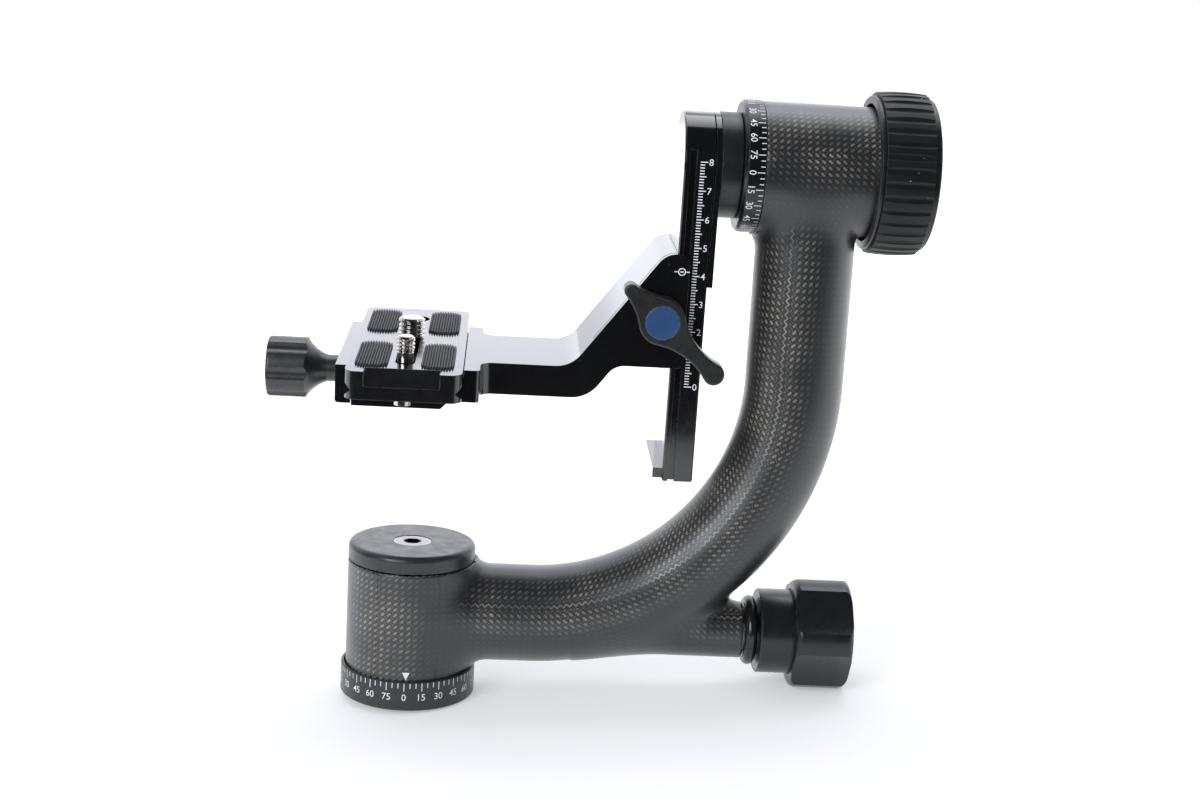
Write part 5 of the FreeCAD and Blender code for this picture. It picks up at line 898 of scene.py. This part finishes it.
class HEAD_OT_scales(bpy.types.Operator):
    """Prints the dials, the ruler and the index marks"""

    bl_idname = "head.scales"
    bl_label = "Scales"

    def execute(self, context):
        settings = context.scene.head_scale
        paint = printed_white("Scale white")
        half = settings.line_width / 2.0
        self.pan_dial(paint, half, settings.numeral_height)
        self.tilt_dial(paint, half)
        self.ruler(paint, settings.ruler_numeral)
        self.index_marks(paint)
        return {"FINISHED"}

    def pan_dial(self, paint, half, height):
        """Lines every 5 degrees and a number every 15, repeating each quarter turn."""
        bm = bmesh.new()
        radius = RING_RADIUS + PAINT_PROUD
        for degree in range(0, 360, 5):
            turn = math.radians(degree)

            def where(x, y, turn=turn):
                angle = turn + x / radius
                return Vector((radius * math.sin(angle), -radius * math.cos(angle), y)) * MM

            long = degree % 15 == 0
            add_bar(bm, -half, half, PAN_LINE_TOP - PAN_LINES[0 if long else 1], PAN_LINE_TOP,
                    where)
            if long:
                figure = numeral(str(degree % 90), height)
                add_flat(bm, figure,
                         lambda x, y, where=where: where(x, y + PAN_NUMERAL_HEIGHT))
        new_piece("pan_dial_marks", bm, paint, "base", False)

    def tilt_dial(self, paint, half):
        """The same scale round the tilt dial, its figures turned to read downwards."""
        bm = bmesh.new()
        radius = DIAL_RADIUS + PAINT_PROUD
        for degree in range(0, 360, 5):
            turn = math.radians(-degree - TILT_DIAL_TURN)

            def where(x, y, turn=turn):
                angle = turn + y / radius
                return Vector((x, -radius * math.cos(angle),
                               TILT_HEIGHT + radius * math.sin(angle))) * MM

            long = degree % 15 == 0
            add_bar(bm, TILT_LINE_RIGHT - TILT_LINES[0 if long else 1], TILT_LINE_RIGHT,
                    -half, half, where)
            if long:
                figure = numeral(str(degree % 90), TILT_NUMERAL)
                add_flat(bm, figure,
                         lambda x, y, where=where: where(TILT_NUMERAL_PLACE + y, -x))
        new_piece("tilt_dial_marks", bm, paint, "cradle", False)

    def ruler(self, paint, height):
        """Millimetre lines from 0 to 80 with a number at each centimetre."""
        bm = bmesh.new()
        back = PLATE_FRONT - PAINT_PROUD
        half = RULER_LINE_WIDTH / 2.0

        def where(x, y):
            return cradle_point(x, back, y)

        for step in range(81):
            level = RULER_ZERO + step
            reach = RULER_LINES[0 if step % 10 == 0 else 1 if step % 5 == 0 else 2]
            add_bar(bm, RULER_LEFT, RULER_LEFT + reach, level - half, level + half, where)
            if step % 10 == 0:
                figure = numeral(str(step // 10), height)
                add_flat(bm, figure, lambda x, y, level=level: where(
                    RULER_NUMERAL_PLACE + x, level + y))
        new_piece("ruler_marks", bm, paint, "cradle", False)

    def index_marks(self, paint):
        """Triangle over the pan dial and the ringed line on the carriage."""
        bm = bmesh.new()
        radius = HOUSING_RADIUS + 2.0 * PAINT_PROUD
        corners = []
        for x, z in PAN_INDEX:
            angle = PAN_INDEX_TURN + x / radius
            corners.append(bm.verts.new(Vector((radius * math.sin(angle),
                                                -radius * math.cos(angle), z)) * MM))
        bm.faces.new(corners)
        new_piece("pan_index", bm, paint, "pan_frame", False)
        bm = bmesh.new()
        back = BRACKET_FRONT - PAINT_PROUD

        def where(x, y):
            return cradle_point(INDEX_ACROSS + x, back, INDEX_LEVEL + y)

        add_ring(bm, INDEX_RING, INDEX_RING_WIDTH, where)
        for left, right, half in ((-0.6, 0.6, 0.22), (-2.7, -1.5, 0.18), (1.5, 2.7, 0.18)):
            add_bar(bm, left, right, -half, half, where)
        new_piece("carriage_index", bm, paint, "carriage", False)


class HEAD_OT_screws(bpy.types.Operator):
    """Cuts the real threads of the two camera screws"""

    bl_idname = "head.screws"
    bl_label = "Camera screws"

    def execute(self, context):
        steel = bpy.data.materials["Bright steel"]
        for name, back, radius, rise, length, neck, pitch in CAMERA_SCREWS:
            top = PLATE_TOP + rise
            foot = top - length
            head = PLATE_TOP - SCREW_HEAD_DROP
            rim = SCREW_HEAD_RADIUS
            shoulder = head + SCREW_HEAD_DEPTH
            profile = [(0.0, head), (rim - 0.4, head), (rim, head + 0.4), (rim, head + 3.0),
                       (rim - 0.2, shoulder), (neck, shoulder), (neck, foot - 0.3),
                       (radius - 0.75, foot), (radius, foot + 0.4), (radius, top - 0.8),
                       (radius - 0.8, top - 0.05), (radius - 1.2, top), (0.0, top)]
            bm = turned_screw(profile, (pitch, pitch * 0.54, foot + 0.4, top - 0.8))
            done = slotted(bm, head)
            done.transform(Matrix.Translation((0.0, 0.0, TILT_HEIGHT * MM))
                           @ Matrix.Rotation(REST_TILT, 4, "X")
                           @ Matrix.Translation((SLOT_ACROSS * MM, back * MM, 0.0)))
            bm = bmesh.new()
            bm.from_mesh(done)
            piece = new_piece("%s_screw_threaded" % name, bm, steel, "%s_screw" % name)
            piece.data.set_sharp_from_angle(angle=math.radians(35.0))
            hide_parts("%s_camera_screw" % name)
        return {"FINISHED"}


class HEAD_OT_pads(bpy.types.Operator):
    """Moulds the ribbed rubber pads of the quick-release plate"""

    bl_idname = "head.pads"
    bl_label = "Ribbed pads"

    def execute(self, context):
        bm = bmesh.new()
        for across in (SLOT_ACROSS - PAD_SPREAD, SLOT_ACROSS + PAD_SPREAD):
            for back in PAD_ROWS:
                self.add_pad(bm, across, back)
        bmesh.ops.recalc_face_normals(bm, faces=bm.faces)
        pads = new_piece("ribbed_pads", bm, bpy.data.materials["Pad rubber"], "plate",
                         False)
        pads.data.set_sharp_from_angle(angle=math.radians(40.0))
        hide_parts("grip_pads")
        return {"FINISHED"}

    def add_pad(self, bm, across, back):
        """One pad: columns across the ribs, each as long as the rounded outline allows."""
        columns = []
        steps = PAD_RIBS * 4
        for i in range(steps + 1):
            x = -PAD_WIDTH / 2.0 + PAD_WIDTH * i / steps
            inner = max(abs(x) - (PAD_WIDTH / 2.0 - PAD_CORNER), 0.0)
            reach = PAD_LENGTH / 2.0 - PAD_CORNER + math.sqrt(
                max(PAD_CORNER ** 2 - inner ** 2, 0.0))
            phase = i % 4
            top = PLATE_TOP + (PAD_GROOVE if phase == 0 else PAD_PROUD)
            reach -= (0.8, 0.3, 0.0, 0.3)[phase]
            if i in (0, steps):
                top = PLATE_TOP + 0.3
            columns.append((x, reach, top))
        rows = []
        foot = PLATE_TOP - PAD_SUNK
        for x, reach, top in columns:
            rows.append([bm.verts.new(cradle_point(across + x, back + y, z)) for y, z in (
                (-reach, foot), (-reach, top - 0.25), (-reach + 0.25, top),
                (reach - 0.25, top), (reach, top - 0.25), (reach, foot))])
        for one, two in zip(rows, rows[1:]):
            for i in range(6):
                j = (i + 1) % 6
                bm.faces.new((one[i], one[j], two[j], two[i]))
        bm.faces.new(rows[0])
        bm.faces.new(rows[-1])


class HEAD_OT_stage(bpy.types.Operator):
    """Sets the floor, the soft lights, the surroundings and the camera"""

    bl_idname = "head.stage"
    bl_label = "Studio"

    def execute(self, context):
        settings = context.scene.head_studio
        self.floor(settings)
        self.lights(settings)
        self.surroundings(settings)
        self.camera(settings)
        context.scene.view_settings.view_transform = "Standard"
        return {"FINISHED"}

    def floor(self, settings):
        """A white table on which the head leans on its lock knob; its glow is painted light,
        stronger away from the head.
        """
        bm = bmesh.new()
        across = [-3.0 + 0.25 * i for i in range(25)]
        back = [-settings.table_front] + [0.25 * i for i in range(25)]
        grid = [[bm.verts.new((x, y, 0.0)) for x in across] for y in back]
        for one, two in zip(grid, grid[1:]):
            for i in range(len(across) - 1):
                bm.faces.new((one[i], one[i + 1], two[i + 1], two[i]))
        mesh = bpy.data.meshes.new("floor")
        bm.to_mesh(mesh)
        bm.free()
        floor = bpy.data.objects.new("floor", mesh)
        bpy.context.scene.collection.objects.link(floor)
        edge = Vector((RING_RADIUS * MM, 0.0, -0.0001))
        floor.matrix_world = Matrix.Translation(edge) @ Matrix.Rotation(-LEAN, 4, "Y")
        shader = Shader("White table")
        cloud = shader.noise(1.4, 3.0)
        # Painted light: the table's glow rises from 0.34 near the head to full 0.9 m out, filling
        # the far table where the lamps fall off
        far = shader.ramp(shader.from_axis(), 0.25, 0.9, 0.34, 1.0)
        shader.set(
            Base_Color=shader.mix(cloud, grey(0.82), grey(0.8)),
            Roughness=shader.ramp(cloud, 0.3, 0.7, 0.75, 0.9),
            Normal=shader.bump(shader.noise(600.0, 3.0), 0.00002, 0.4),
            Specular_IOR_Level=0.1,
            Emission_Color=grey(1.0),
            Emission_Strength=shader.math(
                "MULTIPLY", shader.math("MAXIMUM", *shader.ray_kinds()), far),
        )
        mesh.materials.append(shader.material)

    def lights(self, settings):
        """Large soft boxes above and low behind, and a small one at the front left."""
        aim = Vector((0.06, 0.0, 0.1))
        for name, place, size, power in (
                ("top box", (0.05, 0.45, 1.5), (1.6, 1.0), settings.key_power),
                ("rear box", (0.1, 1.9, 0.85), (2.6, 1.2), settings.rear_power),
                ("side box", (-0.62, -0.92, 0.52), (0.6, 0.6), settings.side_power)):
            lamp = bpy.data.lights.new(name, "AREA")
            lamp.shape = "RECTANGLE"
            lamp.size, lamp.size_y = size
            lamp.energy = power
            lamp.color = (0.92, 0.94, 1.0)
            light = bpy.data.objects.new(name, lamp)
            bpy.context.scene.collection.objects.link(light)
            light.location = place
            light.rotation_euler = (aim - Vector(place)).to_track_quat("-Z", "Y").to_euler()
            light.visible_camera = False

    def surroundings(self, settings):
        """White backdrop behind and faintly on the right, a darker room overhead and behind the
        camera.
        """
        world = bpy.data.worlds.new("Studio")
        bpy.context.scene.world = world
        shader = Shader("World", world)
        split = shader.add("ShaderNodeSeparateXYZ", Vector=shader.way)
        behind = shader.ramp(split.outputs[1], 0.06, 0.34, settings.room, 1.0)
        beside = shader.ramp(split.outputs[0], 0.55, 0.95, 0.0, 0.3)
        mirrored = shader.math("MAXIMUM", behind, beside)
        camera, glossy = shader.ray_kinds()
        strength = shader.mix(glossy, settings.level, mirrored)
        shader.feed(shader.surface.inputs["Strength"], shader.mix(camera, strength, 1.0))
        shader.feed(shader.surface.inputs["Color"], shader.mix(
            camera, (0.9, 0.925, 1.0, 1.0), grey(1.0)))

    def camera(self, settings):
        """The camera, at eye level with the swing plate and rolled a little."""
        yaw, pitch = CAMERA_YAW, CAMERA_PITCH
        ahead = Vector((math.sin(yaw) * math.cos(pitch), math.cos(yaw) * math.cos(pitch),
                        -math.sin(pitch)))
        level = Vector((math.cos(yaw), -math.sin(yaw), 0.0))
        rise = level.cross(ahead)
        right = math.cos(LEAN) * level + math.sin(LEAN) * rise
        up = -math.sin(LEAN) * level + math.cos(LEAN) * rise
        data = bpy.data.cameras.new("Camera")
        data.sensor_width = 36.0
        data.lens = settings.lens
        data.clip_start = 0.01
        camera = bpy.data.objects.new("Camera", data)
        bpy.context.scene.collection.objects.link(camera)
        turned = Matrix((right, up, -ahead)).transposed().to_4x4()
        camera.matrix_world = Matrix.Translation(Vector(CAMERA_PLACE) * MM) @ turned
        bpy.context.scene.camera = camera


class HEAD_PT_panel(bpy.types.Panel):
    """Lists the steps and their settings"""

    bl_idname = "HEAD_PT_panel"
    bl_label = "Gimbal head"
    bl_space_type = "VIEW_3D"
    bl_region_type = "UI"
    bl_category = "Head"

    def draw(self, context):
        for group, operators in GROUPS:
            box = self.layout.box()
            settings = getattr(context.scene, group)
            for key in settings.__annotations__:
                box.prop(settings, key)
            for operator in operators:
                box.operator(operator)


GROUPS = (
    ("head_finish", ("head.finishes", "head.screws", "head.pads")),
    ("head_weave", ("head.carbon",)),
    ("head_scale", ("head.scales",)),
    ("head_studio", ("head.stage",)),
)

CLASSES = (
    FinishSettings, WeaveSettings, ScaleSettings, StudioSettings, HEAD_OT_finishes,
    HEAD_OT_carbon, HEAD_OT_scales, HEAD_OT_screws, HEAD_OT_pads, HEAD_OT_stage,
    HEAD_PT_panel,
)


def register():
    """Registers the classes and their settings."""
    for item in CLASSES:
        bpy.utils.register_class(item)
    scene = bpy.types.Scene
    scene.head_finish = bpy.props.PointerProperty(type=FinishSettings)
    scene.head_weave = bpy.props.PointerProperty(type=WeaveSettings)
    scene.head_scale = bpy.props.PointerProperty(type=ScaleSettings)
    scene.head_studio = bpy.props.PointerProperty(type=StudioSettings)


def unregister():
    """Removes the settings and the classes."""
    for name in ("head_finish", "head_weave", "head_scale", "head_studio"):
        delattr(bpy.types.Scene, name)
    for item in reversed(CLASSES):
        bpy.utils.unregister_class(item)


def main():
    """Builds the whole scene."""
    register()
    bpy.ops.head.finishes()
    bpy.ops.head.carbon()
    bpy.ops.head.scales()
    bpy.ops.head.screws()
    bpy.ops.head.pads()
    bpy.ops.head.stage()
    bpy.context.view_layer.update()


if __name__ == "__main__":
    main()
